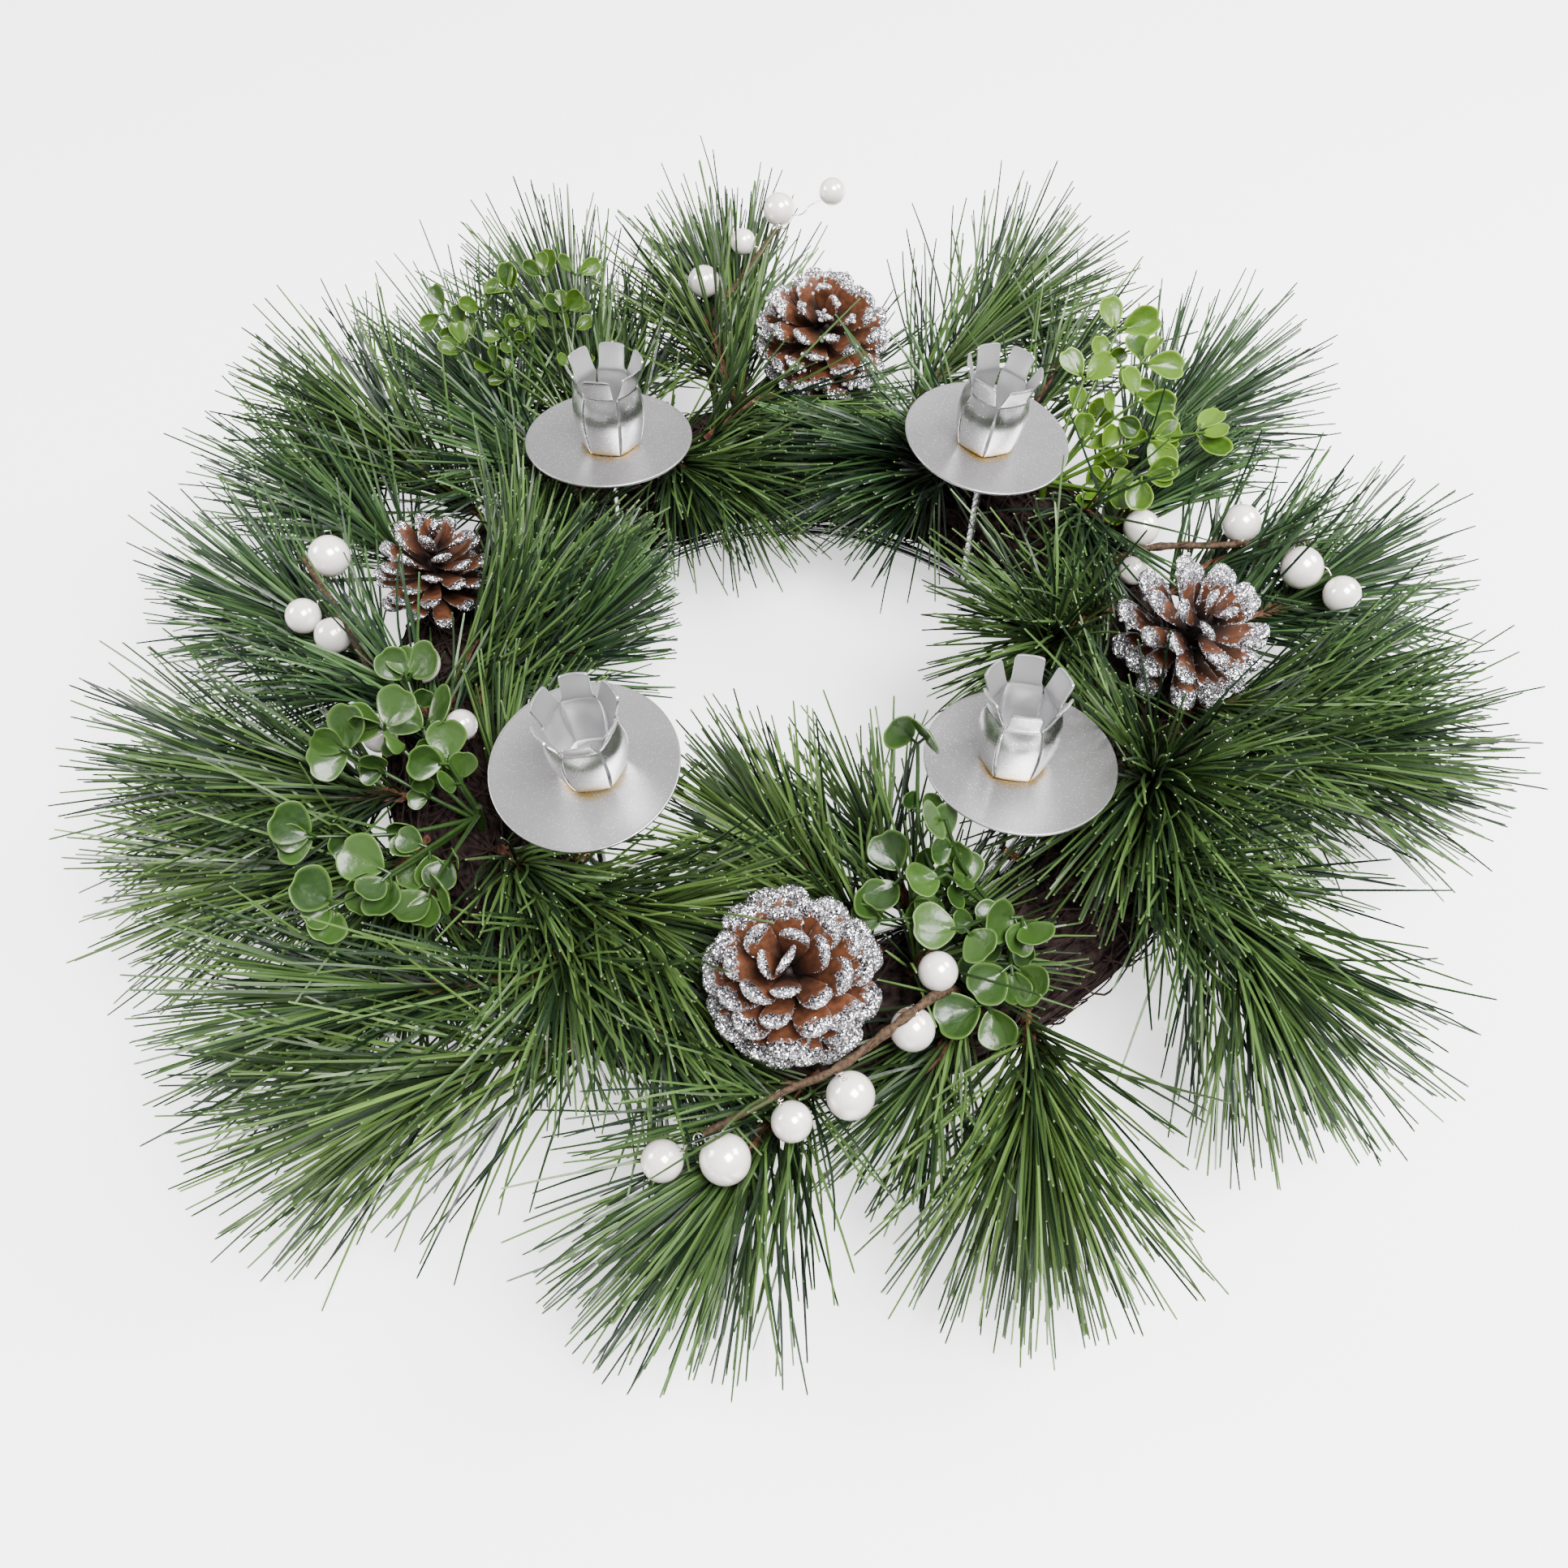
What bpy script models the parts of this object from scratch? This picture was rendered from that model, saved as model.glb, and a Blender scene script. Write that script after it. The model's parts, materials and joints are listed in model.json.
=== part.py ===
"""Advent wreath: a root ring dressed with pine sprays, cones, leaf picks and pearl sprays,
with a wire ring inside it that carries four candle holders.

Sizes are in millimetres until a mesh is made. X is right, Y is away from the viewer and Z is up.
The drawing's centre is the middle of the root ring on the table. At the end the whole wreath
is moved so that its origin is the bottom centre of its box.
"""

import math
import random
from dataclasses import dataclass

import bmesh
import bpy
import numpy as np
from mathutils import Matrix, Vector
from mathutils.bvhtree import BVHTree

MM = 0.001
GOLDEN_ANGLE = math.radians(137.508)
GAP = 0.35  # kept between pieces that touch on the real wreath
CONE_GAP = 0.7
SETTLE_ROUNDS = 12

# Root ring: a bundle of fine roots wound round, flat where it lies on the table.
ROOT_RING_RADIUS = 127.0
ROOT_TUBE_RADIUS = 24.0
ROOT_TUBE_HEIGHT = 22.5
ROOT_RELIEF = 1.1
ROOT_STEPS_ROUND = 50
ROOT_STEPS_ACROSS = 11

# Candle ring: two wires, tied to each other and to the roots.
WIRE_HEIGHT = 14.5
OUTER_WIRE_RADIUS = 98.4
INNER_WIRE_RADIUS = 94.8
WIRE_THICKNESS = 3.0
TIE_ANGLES = (22.0, 90.0, 160.0, 218.0, 322.0)
TIE_THICKNESS = 1.1
TIE_STEPS = 8

# Candle holders: a rod, a drip plate and a cup with six petals.
ROD_THICKNESS = 3.0
ROD_SIDES = 8
PLATE_RADIUS = 30.0
PLATE_THICKNESS = 1.0
PLATE_DISH = 1.2
PLATE_FLAT_RADIUS = 13.0
PLATE_HEIGHT = 73.2  # above the wire ring
CUP_FLOOR_APOTHEM = 9.0
CUP_WALL = 0.8
CUP_PETALS = 6
# Height above the plate, distance from the axis to the outside, petal width.
CUP_STATIONS = (
    (5.5, 10.5, 10.8),
    (14.0, 11.9, 12.2),
    (22.9, 10.1, 10.4),
    (27.5, 11.3, 9.2),
    (31.6, 12.8, 6.2),
)

# Room kept free round a cup: distance from its axis, and height above the plate's underside.
CUP_ROOM_RADIUS = 15.5
CUP_ROOM_HEIGHT = 39.0

CONE_SCALES = 24
PEARL_TWIG_THICK = 1.6
PEARL_TWIG_TIP = 0.9
PEARL_TWIG_STEPS = 7
PEARL_WIRE_THICK = 0.45
PICK_FOOT = 12.0  # length of a leaf pick's foot, which its stems branch from
STEM_THICK = 0.75
NEEDLE_THICK = 0.75
NEEDLE_TRIES = 60
TWIG_THICK = 1.7
TWIG_TIP = 0.9
TWIG_STEPS = 4
HOLE_HALF = 43.0  # no spray reaches past this line into the wreath's hole


@dataclass(frozen=True)
class Holder:
    """One candle holder: foot of its rod, middle and lean of its plate, and its cup.

    The cup stands a little off the plate's middle, and cup_turn is where one of its corners is,
    in degrees.
    """

    name: str
    foot: tuple
    top: tuple
    normal: tuple
    cup_shift: tuple
    cup_turn: float


@dataclass(frozen=True)
class Spray:
    """One pine spray: where its twig is tied to the root ring, where it ends, and its needles."""

    name: str
    angle: float  # round the wreath, degrees
    section: float  # round the root tube: 0 outward, 90 up, 180 inward
    end: tuple
    needle: float
    count: int
    color: tuple = (0.035, 0.105, 0.045)


@dataclass(frozen=True)
class Cone:
    """One pine cone, standing on the root ring."""

    name: str
    middle: tuple
    axis: tuple
    width: float
    height: float


@dataclass(frozen=True)
class PearlSpray:
    """A twig with pearls on fine wires: twig points after its seat, and (x, y, z, diameter)."""

    name: str
    angle: float
    section: float
    twig: tuple
    pearls: tuple


@dataclass(frozen=True)
class LeafPick:
    """A bunch of stems from one foot, each a run of points with a leaf pair at its tip."""

    name: str
    angle: float
    section: float
    stems: tuple
    leaf: float
    color: tuple = (0.07, 0.21, 0.05)


HOLDERS = (
    Holder(
        "front_right",
        (69.1, -67.6),
        (68.2, -69.0),
        (0.037, 0.127, 0.991),
        (-1.2, 1.5),
        -8.6,
    ),
    Holder(
        "back_right",
        (67.6, 69.1),
        (68.8, 72.0),
        (0.121, 0.048, 0.991),
        (-1.0, 0.0),
        21.7,
    ),
    Holder(
        "back_left",
        (-69.1, 67.6),
        (-67.7, 72.0),
        (0.005, 0.170, 0.985),
        (1.0, 0.0),
        -7.7,
    ),
    Holder(
        "front_left",
        (-67.6, -69.1),
        (-66.4, -70.0),
        (-0.062, -0.085, 0.994),
        (1.8, 1.0),
        5.6,
    ),
)

CONES = (
    Cone("front", (-3, -132, 70), (-0.03, -0.28, 0.96), 53, 44),
    Cone("right", (139, 0, 70), (0.1, 0.0, 0.99), 53, 42),
    Cone("left", (-131, 29, 68), (0.13, 0.3, 0.94), 43, 38),
    Cone("back", (11, 150, 70), (0.0, -0.1, 0.99), 53, 44),
)

PEARL_SPRAYS = (
    PearlSpray(
        "front",
        -68.0,
        70.0,
        ((39, -138, 66), (12, -161, 71), (-5, -168, 68), (-28, -179, 64)),
        (
            (-40, -184, 56, 12.4),
            (-22, -184, 57, 15.0),
            (-3, -174, 60, 12.2),
            (14, -167, 62, 14.4),
            (33, -146, 61, 13.6),
            (41, -130, 67, 12.2),
        ),
    ),
    PearlSpray(
        "right",
        23.0,
        125.0,
        ((128, 46, 58), (158, 47, 59), (187, 46, 62)),
        (
            (128, 54, 61, 13.6),
            (125, 41, 52, 11.0),
            (165, 55, 62, 14.4),
            (184, 35, 60, 15.6),
            (197, 24, 58, 13.6),
        ),
    ),
    PearlSpray(
        "left",
        -167.0,
        50.0,
        ((-142, -22, 57), (-157, 4, 63), (-178, 36, 66)),
        (
            (-169, 37, 66, 15.2),
            (-176, 14, 60, 12.8),
            (-164, 5, 60, 13.0),
            (-130, -12, 66, 14.6),
            (-141, -38, 60, 12.0),
            (-114, -34, 60, 11.0),
        ),
    ),
    PearlSpray(
        "back",
        103.0,
        60.0,
        ((-36, 165, 60), (-21, 183, 73), (-7, 200, 83)),
        (
            (16, 215, 90, 11.0),
            (-6, 209, 86, 13.2),
            (-21, 196, 80, 10.4),
            (-37, 181, 72, 13.2),
        ),
    ),
)

LEAF_PICKS = (
    LeafPick(
        "front_right",
        -58.0,
        100.0,
        (
            ((45, -100, 66), (37, -88, 78), (36, -68, 97)),
            ((50, -98, 74), (43, -93, 94)),
            ((44, -104, 80),),
            ((31, -101, 73),),
            ((67, -114, 71),),
            ((49, -119, 74),),
            ((27, -112, 66),),
            ((64, -125, 61),),
            ((56, -136, 57),),
        ),
        14.0,
    ),
    LeafPick(
        "front_left",
        -148.0,
        95.0,
        (
            ((-124, -62, 62), (-146, -53, 71)),
            ((-122, -57, 66), (-134, -48, 77)),
            ((-122, -44, 72),),
            ((-128, -78, 62), (-152, -84, 70)),
            ((-124, -90, 62), (-142, -107, 68)),
            ((-126, -99, 73),),
            ((-114, -101, 68),),
            ((-122, -46, 66), (-129, -29, 78)),
            ((-113, -58, 72),),
        ),
        13.5,
    ),
    LeafPick(
        "back_right",
        41.0,
        90.0,
        (
            ((112, 108, 74), (123, 128, 90)),
            ((116, 100, 74), (129, 108, 92)),
            ((112, 92, 70), (127, 95, 85)),
            ((115, 84, 64), (130, 81, 80)),
            ((120, 86, 70), (146, 77, 86)),
            ((114, 76, 58), (127, 67, 75)),
            ((110, 112, 80),),
            ((118, 73, 60),),
        ),
        13.0,
        (0.12, 0.27, 0.05),
    ),
    LeafPick(
        "back_left",
        128.0,
        78.0,
        (
            ((-98, 124, 62), (-120, 130, 82), (-134, 134, 95)),
            ((-98, 126, 64), (-119, 138, 94)),
            ((-98, 122, 60), (-126, 121, 88)),
            ((-97, 130, 66), (-109, 144, 96)),
            ((-92, 130, 66), (-97, 155, 95)),
            ((-88, 128, 66), (-86, 162, 90)),
            ((-90, 142, 88),),
            ((-104, 124, 58),),
        ),
        12.0,
        (0.12, 0.27, 0.05),
    ),
)

BLUE_GREEN = (0.022, 0.075, 0.045)
LIGHT_GREEN = (0.06, 0.16, 0.035)
SPRAYS = (
    Spray("front", -88, 25, (-16, -176, 42), 76, 17),
    Spray("front_right", -61, 35, (70, -161, 42), 76, 17, LIGHT_GREEN),
    Spray("right_front", -30, 60, (140, -115, 50), 76, 18),
    Spray("right_low", -14, 40, (176, -41, 50), 74, 17),
    Spray("right_up", 7, 35, (183, 30, 46), 72, 16, BLUE_GREEN),
    Spray("upper_right", 37, 35, (150, 117, 50), 72, 17, BLUE_GREEN),
    Spray("back_right", 72, 40, (82, 176, 52), 72, 18),
    Spray("back", 98, 35, (-26, 182, 50), 72, 17),
    Spray("back_left", 121, 40, (-93, 165, 52), 72, 17),
    Spray("back_left_low", 137, 30, (-128, 143, 44), 72, 16, BLUE_GREEN),
    Spray("left_up", 147, 45, (-156, 102, 56), 72, 17),
    Spray("left_back", 161, 30, (-171, 76, 44), 72, 16, BLUE_GREEN),
    Spray("left", 178, 32, (-180, 25, 42), 72, 16, BLUE_GREEN),
    Spray("left_front", -161, 38, (-180, -46, 44), 74, 18),
    Spray("left_low", -150, 18, (-172, -74, 30), 74, 16, LIGHT_GREEN),
    Spray("front_left", -117, 75, (-133, -129, 47), 76, 18, LIGHT_GREEN),
    Spray("front_left_low", -113, 32, (-116, -155, 40), 76, 18, LIGHT_GREEN),
    Spray("inner_left", -166, 112, (-98, 14, 66), 66, 17),
    Spray("inner_left_low", -173, 135, (-80, 3, 56), 58, 14, BLUE_GREEN),
    Spray("inner_back", 107, 100, (-13, 125, 58), 66, 16),
    Spray("inner_back_right", 50, 102, (44, 97, 58), 64, 16, BLUE_GREEN),
    Spray("inner_right", 14, 104, (84, -12, 74), 62, 17),
    Spray("inner_front", -77, 118, (0, -88, 60), 62, 16, LIGHT_GREEN),
    Spray("inner_front_left", -135, 98, (-50, -108, 60), 64, 15, LIGHT_GREEN),
    Spray("right_crown", -19, 88, (113, -66, 72), 66, 17),
    Spray("right_middle", -3, 22, (172, -13, 44), 70, 16, BLUE_GREEN),
)


def clear_scene():
    """Remove what the startup scene holds."""
    for obj in list(bpy.data.objects):
        bpy.data.objects.remove(obj, do_unlink=True)


def finish_of(name, color, roughness, metallic=0.0):
    """A plain material for one piece."""
    material = bpy.data.materials.new(name + "_finish")
    material.use_nodes = True
    shader = material.node_tree.nodes["Principled BSDF"]
    shader.inputs["Base Color"].default_value = (*color, 1.0)
    shader.inputs["Roughness"].default_value = roughness
    shader.inputs["Metallic"].default_value = metallic
    return material


def add_object(name, bm, material=None):
    """Turn a mesh drawn in millimetres into an object in metres."""
    bmesh.ops.recalc_face_normals(bm, faces=bm.faces[:])
    mesh = bpy.data.meshes.new(name)
    bm.to_mesh(mesh)
    bm.free()
    mesh.transform(Matrix.Scale(MM, 4))
    if material:
        mesh.materials.append(material)
    obj = bpy.data.objects.new(name, mesh)
    bpy.context.scene.collection.objects.link(obj)
    return obj


def smooth(obj, angle=40.0):
    """Shade a round piece smooth, with its edges kept sharp."""
    obj.data.shade_smooth()
    obj.data.set_sharp_from_angle(angle=math.radians(angle))


def fuse(base, additions, solver="EXACT"):
    """Join the additions to the base by one Boolean union, and remove them."""
    group = bpy.data.collections.new(base.name + "_repeats")
    bpy.context.scene.collection.children.link(group)
    for obj in additions:
        bpy.context.scene.collection.objects.unlink(obj)
        group.objects.link(obj)
    union = base.modifiers.new("union", "BOOLEAN")
    union.operation = "UNION"
    union.operand_type = "COLLECTION"
    union.collection = group
    union.solver = solver
    bpy.context.view_layer.objects.active = base
    bpy.ops.object.modifier_apply(modifier=union.name)
    for obj in list(group.objects):
        bpy.data.objects.remove(obj, do_unlink=True)
    bpy.data.collections.remove(group)
    return base


def frame_along(direction):
    """A turn that takes +Z to the direction."""
    return Vector(direction).to_track_quat("Z", "Y").to_matrix().to_4x4()


def spike(start, end, thick_start, thick_end, sides=3, turn=0.0):
    """A straight tapered rod between two points."""
    start, end = Vector(start), Vector(end)
    bm = bmesh.new()
    place = Matrix.Translation((start + end) / 2) @ frame_along(end - start)
    place = place @ Matrix.Rotation(turn, 4, "Z")
    bmesh.ops.create_cone(
        bm,
        cap_ends=True,
        segments=sides,
        radius1=thick_start,
        radius2=thick_end,
        depth=(end - start).length,
        matrix=place,
    )
    return bm


def tube(points, radii, sides, closed=False):
    """A round tube through points, with flat ends unless it is closed on itself."""
    points = [Vector(p) for p in points]
    count = len(points)
    bm = bmesh.new()
    rings = []
    side = None
    for i, point in enumerate(points):
        before = points[i - 1] if closed or i else points[0]
        after = points[(i + 1) % count] if closed or i < count - 1 else points[-1]
        along = (after - before).normalized()
        if side is None:
            side = along.orthogonal()
        side = (side - along * side.dot(along)).normalized()
        other = along.cross(side)
        ring = []
        for k in range(sides):
            angle = math.tau * k / sides
            offset = side * math.cos(angle) + other * math.sin(angle)
            ring.append(bm.verts.new(point + offset * radii[i]))
        rings.append(ring)
    pairs = zip(rings, rings[1:] + rings[:1]) if closed else zip(rings, rings[1:])
    for low, high in pairs:
        for k in range(sides):
            nxt = (k + 1) % sides
            bm.faces.new((low[k], low[nxt], high[nxt], high[k]))
    if not closed:
        bm.faces.new(rings[0])
        bm.faces.new(rings[-1])
    return bm


def curve_through(points, steps):
    """Points along a smooth curve through the given points."""
    points = [Vector(p) for p in points]
    if len(points) < 3:
        return [points[0].lerp(points[-1], i / steps) for i in range(steps + 1)]
    ends = [points[0] * 2 - points[1], *points, points[-1] * 2 - points[-2]]
    found = []
    for i in range(steps + 1):
        place = i / steps * (len(points) - 1)
        k = min(int(place), len(points) - 2)
        t = place - k
        a, b, c, d = ends[k : k + 4]
        found.append(
            0.5
            * (
                2 * b
                + (c - a) * t
                + (2 * a - 5 * b + 4 * c - d) * t**2
                + (3 * b - a - 3 * c + d) * t**3
            )
        )
    return found


class Clearance:
    """The room that finished pieces take up, so that later ones keep clear of them."""

    def __init__(self):
        self.owners = []
        self.sticks = []
        self.discs = []

    def add_stick(self, owner, start, end, radius):
        """A straight round rod from start to end, or a ball where they are the same."""
        self.owners.append(owner)
        self.sticks.append((*start, *end, radius))

    def add_disc(self, centre, normal, radius, low, high):
        """A round plate or drum between two heights along its normal."""
        self.discs.append((Vector(centre), Vector(normal).normalized(), radius, low, high))

    def gap(self, owners, start, end):
        """The distance from a straight line to the nearest stick of any other owner."""
        rows = [s for s, o in zip(self.sticks, self.owners) if o not in owners]
        return stick_gap(start, end, rows)

    def own_gap(self, owners, start, end):
        """The same, to the sticks of these owners."""
        rows = [s for s, o in zip(self.sticks, self.owners) if o in owners]
        return stick_gap(start, end, rows)

    def in_disc(self, points, margin):
        """Whether any of the points is within a disc."""
        for centre, normal, radius, low, high in self.discs:
            for point in points:
                rise = (point - centre).dot(normal)
                if low - margin < rise < high + margin:
                    if (point - centre - normal * rise).length < radius + margin:
                        return True
        return False


def stick_gap(start, end, rows):
    """The least distance between one straight line and many round sticks, less their radii."""
    if not rows:
        return 1e9
    data = np.array(rows)
    p1, d1 = np.array(start), np.array(end) - np.array(start)
    p2, d2, radius = data[:, :3], data[:, 3:6] - data[:, :3], data[:, 6]
    r = p1 - p2
    a = max(d1 @ d1, 1e-9)
    e = np.maximum((d2 * d2).sum(1), 1e-9)
    f = (d2 * r).sum(1)
    c = r @ d1
    b = d2 @ d1
    s = np.clip((b * f - c * e) / np.maximum(a * e - b * b, 1e-9), 0, 1)
    t = np.clip((b * s + f) / e, 0, 1)
    s = np.clip((b * t - c) / a, 0, 1)
    nearest = p1 + np.outer(s, d1) - (p2 + d2 * t[:, None])
    return float((np.linalg.norm(nearest, axis=1) - radius).min())


def root_surface(angle, section):
    """How far the root ring's skin is from the middle of its tube, with its wound ridges."""
    ridges = math.sin(5 * section + 7 * angle) + 0.6 * math.sin(3 * section - 11 * angle)
    return ROOT_TUBE_RADIUS + ROOT_RELIEF * ridges / 1.6


def root_gap(point):
    """How far a point is outside the root ring."""
    angle = math.atan2(point[1], point[0])
    out = math.hypot(point[0], point[1]) - ROOT_RING_RADIUS
    rise = point[2] - ROOT_TUBE_HEIGHT
    return math.hypot(out, rise) - root_surface(angle, math.atan2(rise, out))


def root_skin(roots, angle, section):
    """The point on the root ring's skin at these angles, and the way out from the skin."""
    angle, section = math.radians(angle), math.radians(section)
    flat = Vector((math.cos(angle), math.sin(angle), 0))
    out = flat * math.cos(section) + Vector((0, 0, math.sin(section)))
    middle = flat * ROOT_RING_RADIUS + Vector((0, 0, ROOT_TUBE_HEIGHT))
    return roots.ray_cast(middle + out * ROOT_TUBE_RADIUS * 2, -out)[0], out


def root_seat(roots, angle, section, thick, aim):
    """Where a round twig that heads for the aim starts, so that its foot just clears the skin."""
    skin, out = root_skin(roots, angle, section)
    rise = min(1.0, max(0.0, (Vector(aim) - skin).normalized().dot(out)))
    return skin + out * (GAP + 0.2 + thick * math.sqrt(1 - rise * rise))


def make_root_ring():
    """The wound ring of roots, one closed body with its underside flat on the table."""
    bm = bmesh.new()
    rings = []
    for i in range(ROOT_STEPS_ROUND):
        angle = math.tau * i / ROOT_STEPS_ROUND
        ring = []
        for k in range(ROOT_STEPS_ACROSS):
            section = math.tau * k / ROOT_STEPS_ACROSS
            radius = root_surface(angle, section)
            out = ROOT_RING_RADIUS + radius * math.cos(section)
            rise = ROOT_TUBE_HEIGHT + radius * math.sin(section)
            rise = 0.0 if math.sin(section) < -0.85 else max(rise, 0.0)
            place = (out * math.cos(angle), out * math.sin(angle), rise)
            ring.append(bm.verts.new(place))
        rings.append(ring)
    for ring, nxt in zip(rings, rings[1:] + rings[:1]):
        for k in range(ROOT_STEPS_ACROSS):
            after = (k + 1) % ROOT_STEPS_ACROSS
            bm.faces.new((ring[k], nxt[k], nxt[after], ring[after]))
    bmesh.ops.triangulate(bm, faces=bm.faces[:])
    ring = add_object("root_ring", bm, finish_of("root_ring", (0.035, 0.022, 0.018), 0.85))
    smooth(ring, 60)
    return ring


def surface_of(obj):
    """The object's surface in millimetres, for measuring gaps to it."""
    mesh = obj.data
    points = [v.co / MM for v in mesh.vertices]
    return BVHTree.FromPolygons(points, [tuple(p.vertices) for p in mesh.polygons])


def make_wire_ring(name, radius):
    """One steel wire of the candle ring."""
    steps = 40
    points = [
        (
            radius * math.cos(math.tau * i / steps),
            radius * math.sin(math.tau * i / steps),
            WIRE_HEIGHT,
        )
        for i in range(steps)
    ]
    bm = tube(points, [WIRE_THICKNESS / 2] * steps, 4, closed=True)
    smooth(add_object(name, bm, finish_of(name, (0.55, 0.55, 0.57), 0.3, 1.0)), 80)


def make_tie(number, angle, roots):
    """A loop of binding wire round both ring wires, whose tail ends at the roots."""
    angle = math.radians(angle)
    out = Vector((math.cos(angle), math.sin(angle), 0))
    up = Vector((0, 0, 1))
    middle = out * (OUTER_WIRE_RADIUS + INNER_WIRE_RADIUS) / 2 + up * WIRE_HEIGHT
    room = WIRE_THICKNESS / 2 + GAP + TIE_THICKNESS / 2
    half = (OUTER_WIRE_RADIUS - INNER_WIRE_RADIUS) / 2 + room + 0.2
    loop = []
    for k in range(TIE_STEPS):
        turn = math.tau * (k + 0.5) / TIE_STEPS
        across = max(-1, min(1, 1.3 * math.cos(turn))) * half
        rise = max(-1, min(1, 1.3 * math.sin(turn))) * (room + 0.1)
        loop.append(middle + out * across + up * rise)
    name = f"ring_tie_{number}"
    bm = tube(loop, [TIE_THICKNESS / 2] * len(loop), 3, closed=True)
    tie = add_object(name, bm, finish_of(name, (0.4, 0.22, 0.1), 0.35, 1.0))
    start = middle + out * half
    hit = roots.ray_cast(start, (out + up * 0.15).normalized())[0]
    end = hit - (hit - start).normalized() * (GAP + 0.2)
    tail = add_object("tail", spike(start, end, TIE_THICKNESS / 2, TIE_THICKNESS / 2))
    fuse(tie, [tail])


def make_rod(holder):
    """The rod from the wire ring up to the underside of the drip plate."""
    normal = Vector(holder.normal).normalized()
    foot = Vector((*holder.foot, WIRE_HEIGHT + WIRE_THICKNESS / 2 + GAP))
    top = Vector((*holder.top, WIRE_HEIGHT + PLATE_HEIGHT))
    lean = math.tan(normal.angle(top - foot)) * ROD_THICKNESS / 2
    end = top - (top - foot).normalized() * (GAP + lean)
    bm = spike(foot, end, ROD_THICKNESS / 2, ROD_THICKNESS / 2, ROD_SIDES)
    name = "rod_" + holder.name
    smooth(add_object(name, bm, finish_of(name, (0.6, 0.6, 0.62), 0.3, 1.0)))


def holder_place(holder):
    """The frame of a holder: its origin under the plate, and +Z along the plate's normal."""
    top = Vector((*holder.top, WIRE_HEIGHT + PLATE_HEIGHT))
    return Matrix.Translation(top) @ frame_along(holder.normal)


def cup_place(holder):
    """The frame of a cup: on the plate's plane, with +X towards one of its corners."""
    z = Vector(holder.normal).normalized()
    shift = Vector((*holder.cup_shift, 0))
    turn = math.radians(holder.cup_turn)
    x = Vector((math.cos(turn), math.sin(turn), 0))
    x = (x - z * x.dot(z)).normalized()
    middle = holder_place(holder).to_translation() + shift - z * shift.dot(z)
    return Matrix.Translation(middle) @ Matrix((x, z.cross(x), z)).transposed().to_4x4()


def make_plate(holder):
    """The drip plate: a thin disc with a flat middle and a slightly raised rim."""
    bm = bmesh.new()
    lift = Matrix.Translation((0, 0, PLATE_THICKNESS / 2))
    bmesh.ops.create_cone(
        bm,
        cap_ends=True,
        segments=26,
        radius1=PLATE_RADIUS,
        radius2=PLATE_RADIUS,
        depth=PLATE_THICKNESS,
        matrix=lift,
    )
    for cap in [f for f in bm.faces if len(f.verts) > 4]:
        bmesh.ops.inset_region(bm, faces=[cap], thickness=PLATE_RADIUS - PLATE_FLAT_RADIUS)
    for vert in bm.verts:
        if vert.co.xy.length > PLATE_RADIUS - 1:
            vert.co.z += PLATE_DISH
    bmesh.ops.transform(bm, matrix=holder_place(holder), verts=bm.verts[:])
    name = "plate_" + holder.name
    smooth(add_object(name, bm, finish_of(name, (0.62, 0.6, 0.62), 0.38, 0.9)), 30)


def petal_points(turn, out, width, height):
    """The four corners of a petal's section: outer right, outer left, inner left, inner right."""
    found = []
    for distance, side in ((out, 1), (out, -1), (out - CUP_WALL, -1), (out - CUP_WALL, 1)):
        across = side * width / 2
        x = distance * math.cos(turn) - across * math.sin(turn)
        y = distance * math.sin(turn) + across * math.cos(turn)
        found.append(Vector((x, y, height)))
    return found


def make_cup(holder):
    """The candle cup: a flat hexagonal floor with six petals folded up from it."""
    lift = PLATE_THICKNESS + GAP
    bm = bmesh.new()
    corner = CUP_FLOOR_APOTHEM / math.cos(math.pi / CUP_PETALS)
    bottom, top = [], []
    for k in range(CUP_PETALS):
        turn = math.tau * k / CUP_PETALS
        x, y = math.cos(turn), math.sin(turn)
        bottom.append(bm.verts.new((corner * x, corner * y, lift)))
        inner = corner - CUP_WALL
        top.append(bm.verts.new((inner * x, inner * y, lift + CUP_WALL)))
    bm.faces.new(bottom)
    bm.faces.new(top)
    for k in range(CUP_PETALS):
        nxt = (k + 1) % CUP_PETALS
        turn = math.tau * (k + 0.5) / CUP_PETALS
        before = [bottom[nxt], bottom[k], top[k], top[nxt]]
        for height, out, width in CUP_STATIONS:
            corners = petal_points(turn, out, width, lift + height)
            after = [bm.verts.new(c) for c in corners]
            for i in range(4):
                j = (i + 1) % 4
                bm.faces.new((before[i], before[j], after[j], after[i]))
            before = after
        bm.faces.new(before)
    bmesh.ops.transform(bm, matrix=cup_place(holder), verts=bm.verts[:])
    name = "cup_" + holder.name
    smooth(add_object(name, bm, finish_of(name, (0.7, 0.7, 0.72), 0.25, 1.0)), 30)


def settle(obj, roots, root_points, gap):
    """Lower a piece until it all but touches the root ring, and return how far it fell."""
    skin = surface_of(obj)
    points = [v.co / MM for v in obj.data.vertices]
    fall = 0.0
    for _ in range(SETTLE_ROUNDS):
        drop = Vector((0, 0, fall))
        under = min(roots.find_nearest(p - drop)[3] for p in points)
        over = min(skin.find_nearest(p + drop)[3] for p in root_points)
        fall += min(under, over) - gap
    obj.data.transform(Matrix.Translation((0, 0, -fall * MM)))
    return fall


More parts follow.
